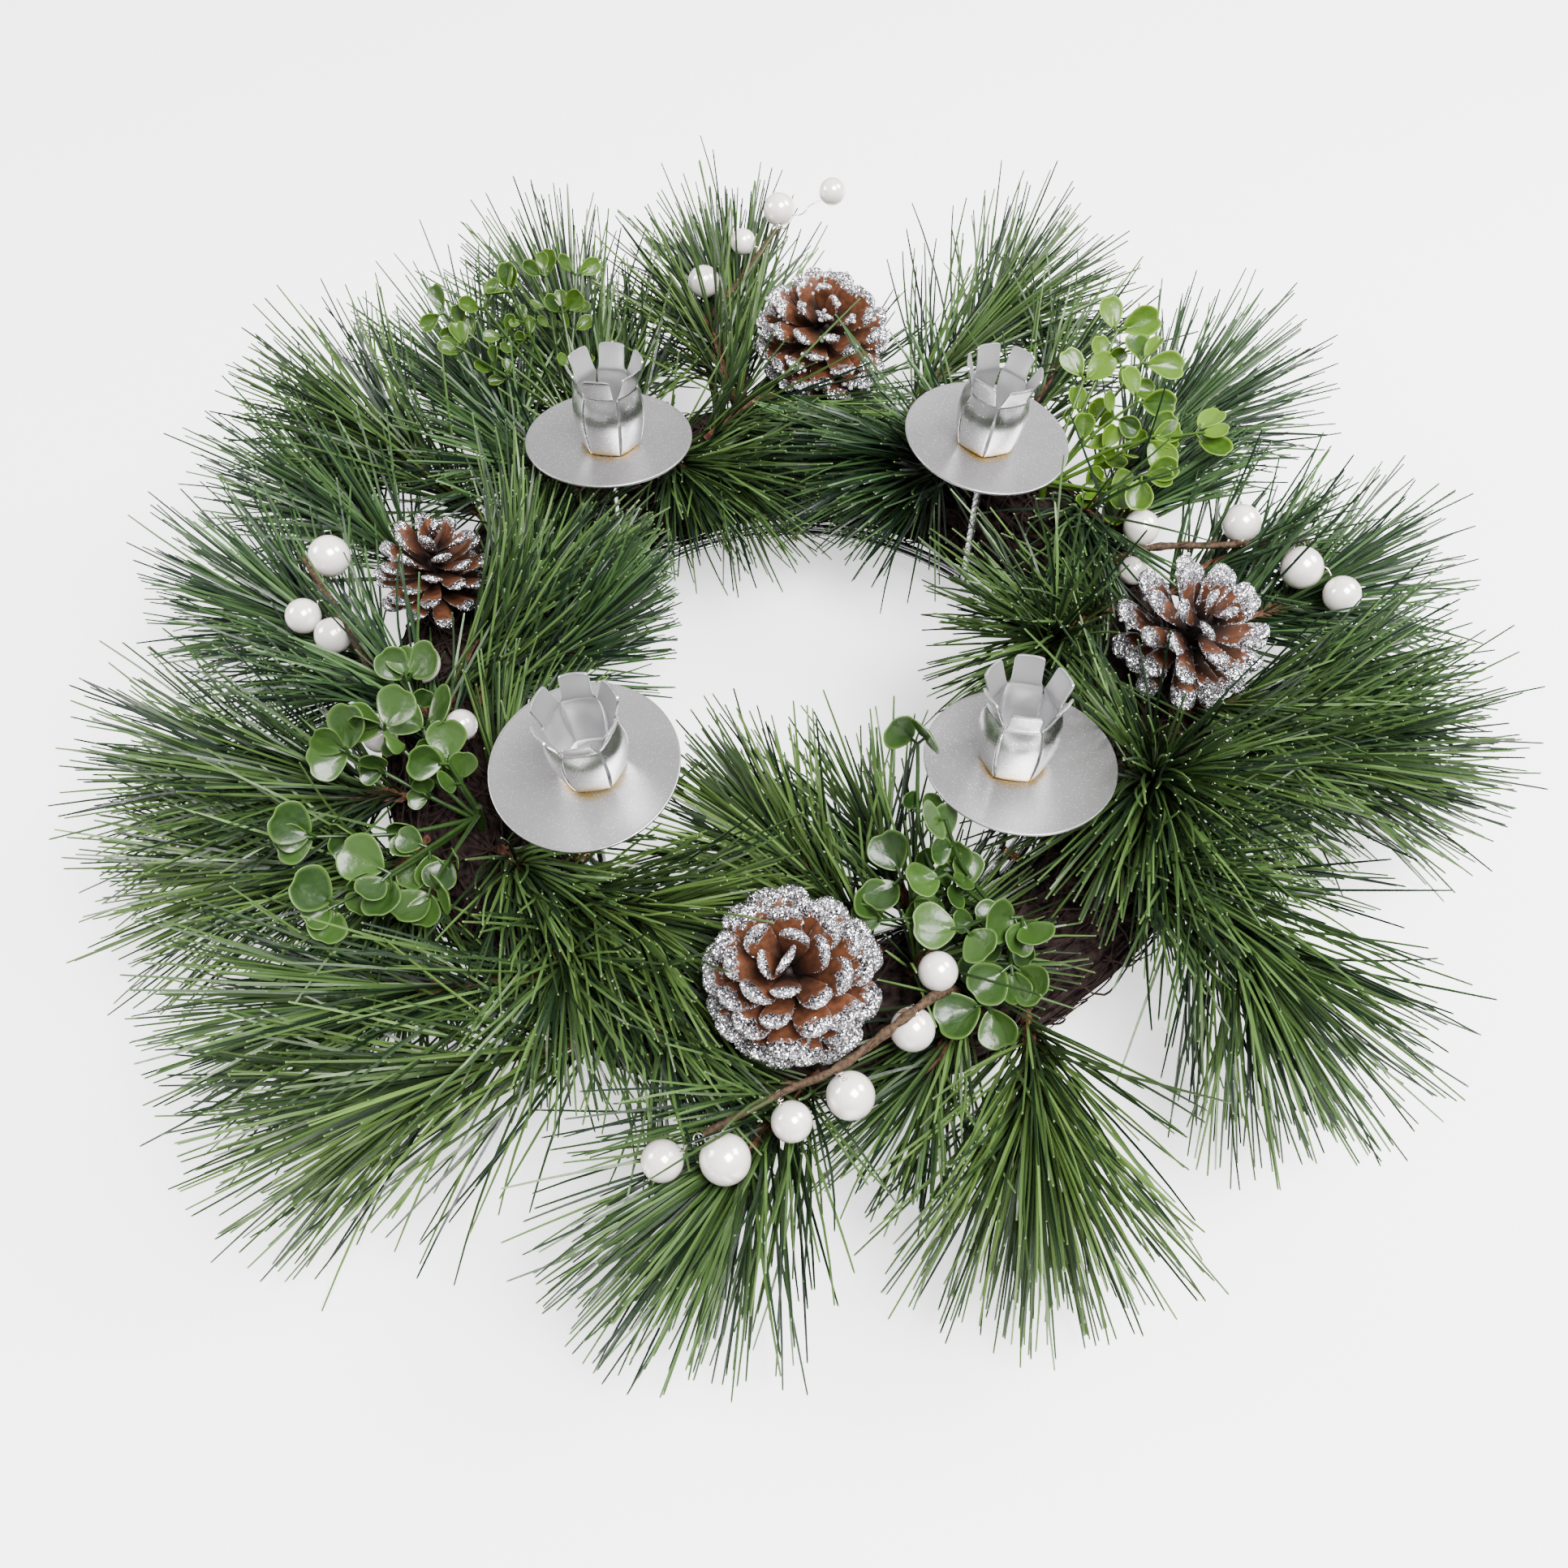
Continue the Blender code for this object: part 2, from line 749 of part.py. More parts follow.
def cone_scale(half, height, t):
    """One thick scale of a cone, reaching from the spindle out to its rhombic tip."""
    rise = math.radians(-12 + 84 * t**1.25)
    reach = half * (0.80 + 0.28 * math.sin(math.pi * min(1, t * 1.15 + 0.1)) - 0.35 * t)
    length = reach / max(math.cos(rise), 0.55)
    width = half * (0.46 - 0.16 * t)
    bm = bmesh.new()
    bmesh.ops.create_cone(
        bm,
        cap_ends=True,
        segments=4,
        radius1=width * 0.3,
        radius2=width,
        depth=length,
        matrix=Matrix.Translation((0, 0, length / 2)),
    )
    place = (
        Matrix.Translation((0, 0, height * (0.63 * t - 0.34)))
        @ Matrix.Rotation(math.pi / 2 - rise, 4, "Y")
        @ Matrix.Diagonal((0.4, 1, 1, 1))
    )
    bmesh.ops.transform(bm, matrix=place, verts=bm.verts[:])
    return bm


def make_cone(cone, room, roots, root_points):
    """A pine cone: a spindle with thick scales set round it at the golden angle."""
    name = "cone_" + cone.name
    half = cone.width / 2
    bm = bmesh.new()
    bmesh.ops.create_uvsphere(bm, u_segments=7, v_segments=5, radius=1.0)
    shape = Matrix.Diagonal((half * 0.46, half * 0.46, cone.height * 0.44, 1))
    bmesh.ops.transform(bm, matrix=shape, verts=bm.verts[:])
    body = add_object(name, bm, finish_of(name, (0.16, 0.07, 0.035), 0.6))
    scales = []
    for i in range(CONE_SCALES):
        bm = cone_scale(half, cone.height, i / (CONE_SCALES - 1))
        turn = Matrix.Rotation(i * GOLDEN_ANGLE, 4, "Z")
        bmesh.ops.transform(bm, matrix=turn, verts=bm.verts[:])
        scales.append(add_object("scale", bm))
    fuse(body, scales)
    body.data.transform(frame_along(cone.axis))
    body.data.transform(Matrix.Translation(Vector(cone.middle) * MM))
    fall = settle(body, roots, root_points, CONE_GAP)
    middle = Vector(cone.middle) - Vector((0, 0, fall))
    along = Vector(cone.axis).normalized() * cone.height * 0.16
    room.add_stick(name, middle - along, middle + along, half * 1.04)


def make_pearl_spray(spray, room, roots):
    """A twig with pearls on fine wires."""
    name = "pearls_" + spray.name
    seat = root_seat(roots, spray.angle, spray.section, PEARL_TWIG_THICK, spray.twig[0])
    line = curve_through([seat, *spray.twig], PEARL_TWIG_STEPS)
    slim = (PEARL_TWIG_TIP - PEARL_TWIG_THICK) / PEARL_TWIG_STEPS
    radii = [PEARL_TWIG_THICK + slim * i for i in range(PEARL_TWIG_STEPS + 1)]
    twig = add_object(name, tube(line, radii, 5), finish_of(name, (0.75, 0.7, 0.66), 0.25))
    for a, b in zip(line, line[1:]):
        room.add_stick(name, a, b, PEARL_TWIG_THICK)
    parts = []
    for x, y, z, size in spray.pearls:
        middle = Vector((x, y, z))
        joint = min(line[1:], key=lambda p: (p - middle).length)
        bm = bmesh.new()
        bmesh.ops.create_uvsphere(
            bm,
            u_segments=8,
            v_segments=4,
            radius=size / 2,
            matrix=Matrix.Translation(middle),
        )
        parts.append(add_object("pearl", bm))
        wire = spike(joint, middle, PEARL_WIRE_THICK, PEARL_WIRE_THICK)
        parts.append(add_object("wire", wire))
        room.add_stick(name, middle, middle, size / 2)
        room.add_stick(name, joint, middle, PEARL_WIRE_THICK)
    smooth(fuse(twig, parts), 70)


def leaf_mesh(root, along, face, length):
    """A thick round leaf with a notch at its tip: a flattened ball with one ring of corners."""
    bm = bmesh.new()
    bmesh.ops.create_uvsphere(bm, u_segments=6, v_segments=2, radius=1.0)
    along = along.normalized()
    face = (face - along * face.dot(along)).normalized()
    across = face.cross(along)
    for vert in bm.verts:
        x, y, z = vert.co
        if x > 0.9:
            x = 0.82
        reach = (x + 0.86) * length * 0.52
        side = y * length * (0.42 + 0.06 * x)
        lift = z * 0.75 + 0.12 * length * y * y
        vert.co = root + along * reach + across * side + face * lift
    return bm


def make_leaf_pick(pick, room, roots, number):
    """Stems from one foot, each with a pair of leaves at its tip and smaller ones lower down."""
    name = "leaves_" + pick.name
    rng = random.Random(40 + number)
    skin, out = root_skin(roots, pick.angle, pick.section)
    seat = skin + out * (GAP + 0.25)
    top = seat + out * PICK_FOOT
    bm = spike(seat, top, 1.6, 1.3, 6)
    stub = add_object(name, bm, finish_of(name, pick.color, 0.35))
    room.add_stick(name, seat, top, 1.7)
    parts = []
    for i, stem in enumerate(pick.stems):
        height = PICK_FOOT * (0.25 + 0.65 * i / len(pick.stems))
        line = [seat + out * height, *(Vector(p) for p in stem)]
        parts.append(add_object("stem", tube(line, [STEM_THICK] * len(line), 3)))
        for a, b in zip(line, line[1:]):
            room.add_stick(name, a, b, 0.8)
        tip = line[-1]
        along = (tip - line[-2]).normalized()
        face = (Vector((0, -0.45, 1)) + along.orthogonal() * 0.2).normalized()
        across = along.cross(face).normalized()
        flat = (along - face * along.dot(face)).normalized()
        leaves = [(tip - along * 0.5, flat + across * 0.9, 1.0)]
        leaves.append((tip - along * 2.6, flat - across * 0.9, 0.9))
        if len(stem) > 1 and pick.leaf > 13:
            lower = tip.lerp(line[-2], 0.55)
            sign = rng.choice((-1, 1))
            leaves.append((lower, flat * 0.4 + across * sign, 0.72))
        for root, way, size in leaves:
            length = pick.leaf * size
            way = way.normalized()
            lean = (face + across * rng.uniform(-0.3, 0.3)).normalized()
            end = root + way * length
            middle = root + way * length * 0.5
            points = [root, middle, end]
            if room.in_disc(points, 1.5) or room.gap({name}, root, end) < length * 0.42:
                continue
            if min(root_gap(p) for p in points) < length * 0.3:
                continue
            parts.append(add_object("leaf", leaf_mesh(root, way, lean, length)))
            inset = way * length * 0.3
            room.add_stick(name, root + inset, end - inset, length * 0.42)
    smooth(fuse(stub, parts), 30)


def hole_side(point):
    """The side of the wreath's hole that a piece belongs to, as an axis and a sign."""
    axis = 0 if abs(point[0]) > abs(point[1]) else 1
    return axis, math.copysign(1, point[axis])


def needle_is_free(name, room, side, root, tip):
    """Whether a needle keeps clear of the table, the hole, the roots and other pieces."""
    axis, sign = side
    if tip[2] < 2.0 or tip[axis] * sign < HOLE_HALF:
        return False
    start = root.lerp(tip, 0.05)
    points = [root.lerp(tip, t) for t in np.linspace(0.12, 1, 16)]
    if min(root_gap(p) for p in points) < NEEDLE_THICK + 0.45:
        return False
    if room.in_disc(points, 1.2):
        return False
    if room.gap({name, name + "_twig"}, start, tip) < NEEDLE_THICK + GAP:
        return False
    return room.own_gap({name}, root.lerp(tip, 0.3), tip) > NEEDLE_THICK * 0.5


def twig_line(spray, roots):
    """The points along a spray's twig, from its seat on the root ring to its end."""
    end = Vector(spray.end)
    skin = root_skin(roots, spray.angle, spray.section)[0]
    bow = (skin + end) / 2 + Vector((0, 0, 2.5))
    seat = root_seat(roots, spray.angle, spray.section, TWIG_THICK, bow)
    return curve_through([seat, bow, end], TWIG_STEPS)


def make_spray(spray, line, room, number):
    """A twig with needles all round it, the outer ones pointing on past its end."""
    name = "spray_" + spray.name
    rng = random.Random(100 + number)
    slim = (TWIG_TIP - TWIG_THICK) / TWIG_STEPS
    radii = [TWIG_THICK + slim * i for i in range(TWIG_STEPS + 1)]
    twig = add_object(name, tube(line, radii, 4), finish_of(name, spray.color, 0.5))
    side = hole_side(line[0])
    needles = []
    for i in range(spray.count):
        t = (i + 0.5) / spray.count
        place = 0.10 + 0.88 * t**0.7
        k = min(int(place * TWIG_STEPS), TWIG_STEPS - 1)
        root = line[k].lerp(line[k + 1], place * TWIG_STEPS - k)
        along = (line[k + 1] - line[k]).normalized()
        across = along.orthogonal().normalized()
        for attempt in range(NEEDLE_TRIES):
            loose = 0.25 + attempt * 0.08
            around = i * GOLDEN_ANGLE + rng.uniform(-loose, loose)
            lean = math.radians(54 - 34 * t + rng.uniform(-10, 10))
            if t > 0.65:
                lean = math.radians(4 + 34 * rng.random())
            turn = Matrix.Rotation(around, 3, along)
            way = along * math.cos(lean) + turn @ across * math.sin(lean)
            length = spray.needle * rng.uniform(0.88, 1.0) * (1 - 0.004 * attempt)
            tip = root + way * length
            if needle_is_free(name, room, side, root, tip):
                needles.append(add_object("needle", spike(root, tip, NEEDLE_THICK, 0)))
                room.add_stick(name, root, tip, NEEDLE_THICK)
                break
    return fuse(twig, needles)


def keep_clear_of_holders(room):
    """Book the room that rods, plates and cups take up."""
    for holder in HOLDERS:
        foot = Vector((*holder.foot, WIRE_HEIGHT))
        place = holder_place(holder)
        top = place.to_translation()
        room.add_stick("holders", foot, top, ROD_THICKNESS / 2)
        normal = place.to_3x3() @ Vector((0, 0, 1))
        room.add_disc(top, normal, PLATE_RADIUS, -0.5, PLATE_THICKNESS + PLATE_DISH + 0.5)
        room.add_disc(top, normal, CUP_ROOM_RADIUS, 0, CUP_ROOM_HEIGHT)
    count = 24
    for i in range(count):
        ends = []
        for k in (i, i + 1):
            turn = math.tau * k / count
            radius = (OUTER_WIRE_RADIUS + INNER_WIRE_RADIUS) / 2
            ends.append(Vector((radius * math.cos(turn), radius * math.sin(turn), WIRE_HEIGHT)))
        room.add_stick("wires", ends[0], ends[1], 5.0)


def move_origin():
    """Move every piece so that the origin is the bottom centre of the whole wreath's box."""
    corners = [v.co for obj in bpy.data.objects for v in obj.data.vertices]
    lows = [min(c[i] for c in corners) for i in range(3)]
    highs = [max(c[i] for c in corners) for i in range(3)]
    shift = Vector((-(lows[0] + highs[0]) / 2, -(lows[1] + highs[1]) / 2, -lows[2]))
    for obj in bpy.data.objects:
        obj.data.transform(Matrix.Translation(shift))
    return shift


def main():
    """Build the whole wreath, each piece keeping clear of the ones made before it."""
    clear_scene()
    room = Clearance()
    roots = surface_of(make_root_ring())
    make_wire_ring("wire_ring_outer", OUTER_WIRE_RADIUS)
    make_wire_ring("wire_ring_inner", INNER_WIRE_RADIUS)
    for number, angle in enumerate(TIE_ANGLES, 1):
        make_tie(number, angle, roots)
    for holder in HOLDERS:
        make_rod(holder)
        make_plate(holder)
        make_cup(holder)
    keep_clear_of_holders(room)
    root_points = [v.co / MM for v in bpy.data.objects["root_ring"].data.vertices]
    for cone in CONES:
        make_cone(cone, room, roots, root_points)
    for spray in PEARL_SPRAYS:
        make_pearl_spray(spray, room, roots)
    for number, pick in enumerate(LEAF_PICKS):
        make_leaf_pick(pick, room, roots, number)
    lines = [twig_line(spray, roots) for spray in SPRAYS]
    for spray, line in zip(SPRAYS, lines):
        for start, end in zip(line, line[1:]):
            room.add_stick("spray_" + spray.name + "_twig", start, end, TWIG_THICK)
    for number, (spray, line) in enumerate(zip(SPRAYS, lines)):
        make_spray(spray, line, room, number)
    shift = move_origin()
    print("ring centre from the origin, mm:", [round(c / MM, 3) for c in shift])


if __name__ == "__main__":
    main()
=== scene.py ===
"""Dresses the advent wreath: wound roots, candle ring and holders, cones, pearls, leaves and pine.

Sizes in the tables are millimetres, measured from the middle of the candle ring on the table:
X is right, Y is away from the viewer and Z is up. Meshes are in metres.
"""

import json
import logging
import math
import random
from collections.abc import Callable, Iterator, Sequence
from contextlib import contextmanager
from dataclasses import dataclass
from enum import Enum

import bmesh
import bpy
import numpy as np
from mathutils import Matrix, Vector, noise
from mathutils.bvhtree import BVHTree

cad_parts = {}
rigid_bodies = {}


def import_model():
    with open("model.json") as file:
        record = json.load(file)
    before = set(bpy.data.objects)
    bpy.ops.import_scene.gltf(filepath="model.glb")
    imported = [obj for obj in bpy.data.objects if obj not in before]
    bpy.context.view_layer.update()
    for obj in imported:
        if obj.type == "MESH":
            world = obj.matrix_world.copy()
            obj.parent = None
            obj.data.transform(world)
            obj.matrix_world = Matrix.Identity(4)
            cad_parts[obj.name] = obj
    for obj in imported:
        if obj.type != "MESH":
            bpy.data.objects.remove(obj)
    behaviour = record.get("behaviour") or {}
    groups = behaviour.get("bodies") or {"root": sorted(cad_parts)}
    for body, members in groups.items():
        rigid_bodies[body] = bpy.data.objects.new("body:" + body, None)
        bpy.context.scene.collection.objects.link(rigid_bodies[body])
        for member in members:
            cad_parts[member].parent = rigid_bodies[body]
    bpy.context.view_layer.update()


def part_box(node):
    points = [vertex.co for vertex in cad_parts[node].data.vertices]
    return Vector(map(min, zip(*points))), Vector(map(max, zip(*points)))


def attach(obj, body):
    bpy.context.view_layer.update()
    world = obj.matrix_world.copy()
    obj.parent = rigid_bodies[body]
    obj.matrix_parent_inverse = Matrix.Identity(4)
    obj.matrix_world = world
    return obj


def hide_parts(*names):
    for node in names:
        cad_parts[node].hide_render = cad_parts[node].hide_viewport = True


LOG = logging.getLogger("wreath")
MM = 0.001
# Thousands of copies join faster in batches, so this many are joined at a time.
BATCH = 100
GOLDEN_ANGLE = math.radians(137.508)
# Where along a twig its needles stand in whorls, as parts of its length.
WHORLS = (0.14, 0.26, 0.38, 0.5, 0.6, 0.7, 0.8, 0.88)
UP = Vector((0.0, 0.0, 1.0))
Point = tuple[float, float, float]
Color = tuple[float, float, float]
# Which modelled piece is copied, where to, and with what tint.
Placing = tuple[int, Matrix, float]
Piece = bpy.types.Object
Material = bpy.types.Material
Socket = bpy.types.NodeSocket
# The operators that add the shapes most pieces start from.
CIRCLE = bpy.ops.mesh.primitive_circle_add
SPHERE = bpy.ops.mesh.primitive_uv_sphere_add
TORUS = bpy.ops.mesh.primitive_torus_add

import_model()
ring_low, ring_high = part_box("wire_ring_outer")
CENTRE = Vector(((ring_low.x + ring_high.x) / 2, (ring_low.y + ring_high.y) / 2, 0.0))

ROOT_RING_RADIUS = 127.0
ROOT_TUBE_RADIUS = 24.0
ROOT_TUBE_HEIGHT = 22.5
WIRE_HEIGHT = 14.5
OUTER_WIRE_RADIUS = 98.4
INNER_WIRE_RADIUS = 94.8
WIRE_RADIUS = 1.5
PLATE_HEIGHT = 87.7
NEEDLE_LENGTH = 75.0
# Half the side of the square in the middle that no needle reaches into.
HOLE_HALF = 41.5
# How far sideways and up the needles may reach, in metres.
NEEDLE_REACH = 0.246
NEEDLE_TOP = 0.128
# The camera's place from the middle of the candle ring, fitted to the photograph.
CAMERA_PLACE = (-4.856, -324.59, 452.99)
# Dark, middling and bright needles: the shares of them up to each, and the tints it draws from.
NEEDLE_TINTS = ((0.42, (0.0, 0.22)), (0.76, (0.25, 0.6)), (1.0, (0.65, 1.0)))
WOOD_DARK = (0.036, 0.012, 0.0055)
WOOD_LIGHT = (0.115, 0.04, 0.016)
BLACK = (0.0, 0.0, 0.0)
WHITE = (1.0, 1.0, 1.0)


class Tone(Enum):
    """The greens that the pine sprays come in, by the record's slot for each."""

    GREEN = "needle_green"
    BLUE = "needle_blue_green"
    LIGHT = "needle_light_green"


class LeafTone(Enum):
    """The greens that the leaf picks come in."""

    GREEN = "leaf_green"
    YELLOW = "leaf_yellow_green"
    OLIVE = "leaf_olive_green"


def at(x: float, y: float, z: float) -> Vector:
    """A place in the tables' millimetres, in metres.

    Args:
        x, y, z: millimetres from the middle of the candle ring on the table.

    Returns:
        The place in the frame's metres.
    """
    return CENTRE + Vector((x, y, z)) * MM


def jitter(rng: random.Random, size: float = 1.0) -> Vector:
    """A random shift in any direction.

    Args:
        rng: the draw.
        size: how large the shift mostly is.

    Returns:
        The shift.
    """
    return Vector([rng.gauss(0, size) for _ in range(3)])


def square_to(side: Vector, way: Vector) -> Vector:
    """One direction made square to another, with a length of 1.

    Args:
        side: the direction that is turned.
        way: the other one, with a length of 1.

    Returns:
        The turned direction.
    """
    return (side - way * side.dot(way)).normalized()


def select_only(*objects: Piece) -> None:
    """Select these objects alone, and make the first one active.

    Args:
        objects: what is selected.
    """
    bpy.ops.object.select_all(action="DESELECT")
    for obj in objects:
        obj.select_set(True)
    bpy.context.view_layer.objects.active = objects[0]


def start(name: str, add: Callable, **settings: object) -> Piece:
    """Add a primitive that a piece is then shaped from.

    Args:
        name: the new object's name.
        add: the operator that adds the primitive.
        settings: the operator's own values.

    Returns:
        The new object, with its place in its mesh.
    """
    bpy.ops.object.select_all(action="DESELECT")
    add(**settings)
    obj = bpy.context.object
    obj.name = obj.data.name = name
    bpy.ops.object.transform_apply(location=True, rotation=True, scale=True)
    return obj


@contextmanager
def editing(obj: Piece, kind: str = "VERT", picked: str = "DESELECT") -> Iterator[None]:
    """Hold the object in edit mode, with nothing or all of it selected.

    Args:
        obj: the mesh object.
        kind: VERT, EDGE or FACE.
        picked: DESELECT for nothing, SELECT for all of it.

    Yields:
        Nothing, while the object is in edit mode.
    """
    select_only(obj)
    bpy.ops.object.mode_set(mode="EDIT")
    bpy.ops.mesh.select_mode(type=kind)
    bpy.ops.mesh.select_all(action=picked)
    yield
    bpy.ops.object.mode_set(mode="OBJECT")


def pick_verts(obj: Piece, test: Callable[[Vector], bool]) -> None:
    """Select the points that the test says, in edit mode.

    Args:
        obj: the object in edit mode.
        test: says of a point's place whether it is picked.
    """
    bpy.ops.mesh.select_all(action="DESELECT")
    bm = bmesh.from_edit_mesh(obj.data)
    for vert in bm.verts:
        if test(vert.co):
            vert.select_set(True)
    bm.select_flush(True)
    bmesh.update_edit_mesh(obj.data)


def pick_faces(obj: Piece, test: Callable[[Vector, Vector], bool]) -> None:
    """Select the faces that the test says, in edit mode.

    Args:
        obj: the object in edit mode.
        test: says of a face's middle and normal whether it is picked.
    """
    bm = bmesh.from_edit_mesh(obj.data)
    for face in bm.faces:
        face.select_set(test(face.calc_center_median(), face.normal))
    bmesh.update_edit_mesh(obj.data)


def extrude(shift: Point, grow: Point, middle: Point) -> None:
    """Extrude what is selected, then size it about a middle.

    Args:
        shift: how far the extrusion goes.
        grow: its new size along each axis, as a factor.
        middle: the place that the sizing is about.
    """
    bpy.ops.mesh.extrude_region_move(TRANSFORM_OT_translate={"value": shift})
    bpy.ops.transform.resize(value=grow, center_override=middle)


def apply(obj: Piece, kind: str, **settings: object) -> None:
    """Add a modifier to an object and apply it.

    Args:
        obj: the object.
        kind: the modifier's type.
        settings: the modifier's own values.
    """
    select_only(obj)
    modifier = obj.modifiers.new(kind.lower(), kind)
    for key, value in settings.items():
        setattr(modifier, key, value)
    bpy.ops.object.modifier_apply(modifier=modifier.name)


def settle(obj: Piece) -> None:
    """Number a mesh's points and faces by place, because edit mode numbers them anew in each run.

    Args:
        obj: the mesh object, about 1 long and before it is given its numbers.
    """
    mesh = obj.data
    points = [v.co.copy() for v in mesh.vertices]
    order = sorted(range(len(points)), key=lambda k: [round(c, 5) for c in points[k]])
    rank = {old: new for new, old in enumerate(order)}
    faces = []
    for face in mesh.polygons:
        corners = [rank[k] for k in face.vertices]
        first = corners.index(min(corners))
        faces.append(corners[first:] + corners[:first])
    mesh.clear_geometry()
    mesh.from_pydata([points[k] for k in order], [], sorted(faces))


def shade(obj: Piece, angle: float = 180.0) -> None:
    """Shade an object smooth, but for edges sharper than the angle.

    Args:
        obj: the object.
        angle: degrees.
    """
    select_only(obj)
    if angle >= 180:
        bpy.ops.object.shade_smooth()
    else:
        bpy.ops.object.shade_smooth_by_angle(angle=math.radians(angle))


def join(name: str, objects: Sequence[Piece]) -> Piece:
    """Join objects into one.

    Args:
        name: the name of the joined object.
        objects: what is joined.

    Returns:
        The joined object.
    """
    meshes = {obj.data for obj in objects[1:]}
    select_only(*objects)
    if len(objects) > 1:
        bpy.ops.object.join()
        bpy.data.batch_remove([mesh for mesh in meshes if not mesh.users])
    obj = bpy.context.view_layer.objects.active
    obj.name = obj.data.name = name
    return obj


def set_values(obj: Piece, name: str, values: Sequence[float] | float) -> None:
    """Store a number on every point of a mesh.

    Args:
        obj: the mesh object.
        name: the attribute's name.
        values: one number, or one for each point.
    """
    mesh = obj.data
    layer = mesh.attributes.get(name) or mesh.attributes.new(name, "FLOAT", "POINT")
    count = len(mesh.vertices)
    layer.data.foreach_set("value", np.broadcast_to(np.asarray(values, np.float32), count).copy())


def copy_out(name: str, masters: Sequence[Piece], placings: Sequence[Placing]) -> Piece:
    """Copy modelled pieces to many places, each with its own mesh, and join the copies.

    Args:
        name: the joined object's name.
        masters: the modelled pieces.
        placings: for each copy, which piece it copies, its place, and its tint from 0 to 1.

    Returns:
        The joined object.
    """
    batches = []
    for first in range(0, len(placings), BATCH):
        made = []
        for index, matrix, tint in placings[first : first + BATCH]:
            obj = bpy.data.objects.new(name, masters[index].data.copy())
            obj.data.transform(matrix)
            set_values(obj, "tint", tint)
            bpy.context.scene.collection.objects.link(obj)
            made.append(obj)
        batches.append(join(name, made))
    return join(name, batches)


def discard(*objects: Piece) -> None:
    """Remove modelled pieces that were only copied from.

    Args:
        objects: what is removed.
    """
    for obj in objects:
        bpy.data.objects.remove(obj, do_unlink=True)


def tubes(
    name: str,
    paths: Sequence[tuple[Sequence[Vector], Sequence[float]]],
    fineness: int = 0,
    closed: bool = False,
) -> Piece:
    """Make round tubes along runs of points.

    Args:
        name: the object's name.
        paths: for each tube its points in metres, and its radius at each in millimetres.
        fineness: 0 for four sides, and two more for each step.
        closed: whether each tube joins its own start.

    Returns:
        One mesh object that holds all the tubes.
    """
    bpy.ops.object.select_all(action="DESELECT")
    bpy.ops.curve.primitive_bezier_curve_add()
    obj = bpy.context.object
    obj.name = name
    data = obj.data
    data.splines.clear()
    for points, radii in paths:
        spline = data.splines.new("POLY")
        spline.points.add(len(points) - 1)
        spline.points.foreach_set("co", [c for p in points for c in (*p, 1.0)])
        spline.points.foreach_set("radius", list(radii))
        spline.use_cyclic_u = closed
    data.dimensions = "3D"
    data.twist_mode = "MINIMUM"
    data.bevel_depth = MM
    data.bevel_resolution = fineness
    data.use_fill_caps = True
    bpy.ops.object.convert(target="MESH")
    obj = bpy.context.object
    obj.name = obj.data.name = name
    return obj


def smooth_run(points: Sequence[Vector], steps: int) -> list[Vector]:
    """A smooth run of points through the given ones.

    Args:
        points: two or more places.
        steps: how many stretches the run has.

    Returns:
        One place more than there are steps.
    """
    if len(points) == 2:
        return [points[0].lerp(points[1], i / steps) for i in range(steps + 1)]
    ends = [points[0] * 2 - points[1], *points, points[-1] * 2 - points[-2]]
    found = []
    for i in range(steps + 1):
        place = i / steps * (len(points) - 1)
        k = min(int(place), len(points) - 2)
        t = place - k
        a, b, c, d = ends[k : k + 4]
        bend = (2 * a - 5 * b + 4 * c - d) * t**2 + (3 * b - a - 3 * c + d) * t**3
        found.append(0.5 * (2 * b + (c - a) * t + bend))
    return found


def axes_of(forward: Vector, side: Vector) -> Matrix:
    """A turn that takes +Z to one direction, and +X as near as it can to another.

    Args:
        forward: where +Z goes.
        side: where +X goes, as nearly as it can.

    Returns:
        The turn, as a 4x4 matrix.
    """
    z = forward.normalized()
    x = side - z * side.dot(z)
    x = x.normalized() if x.length > 1e-6 else z.orthogonal().normalized()
    y = z.cross(x)
    return Matrix((x, y, z)).transposed().to_4x4()


def finish_piece(obj: Piece, material: Material, slot: str, *nodes: str) -> None:
    """Give a piece its material and its body, and hide the solids that it stands for.

    Args:
        obj: the piece.
        material: its material.
        slot: the record's slot; not used.
        nodes: the CAD nodes that it replaces.
    """
    obj.data.materials.clear()
    obj.data.materials.append(material)
    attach(obj, "root")
    if nodes:
        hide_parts(*nodes)
    obj.data.calc_loop_triangles()
    LOG.info("%s: %d triangles", obj.name, len(obj.data.loop_triangles))


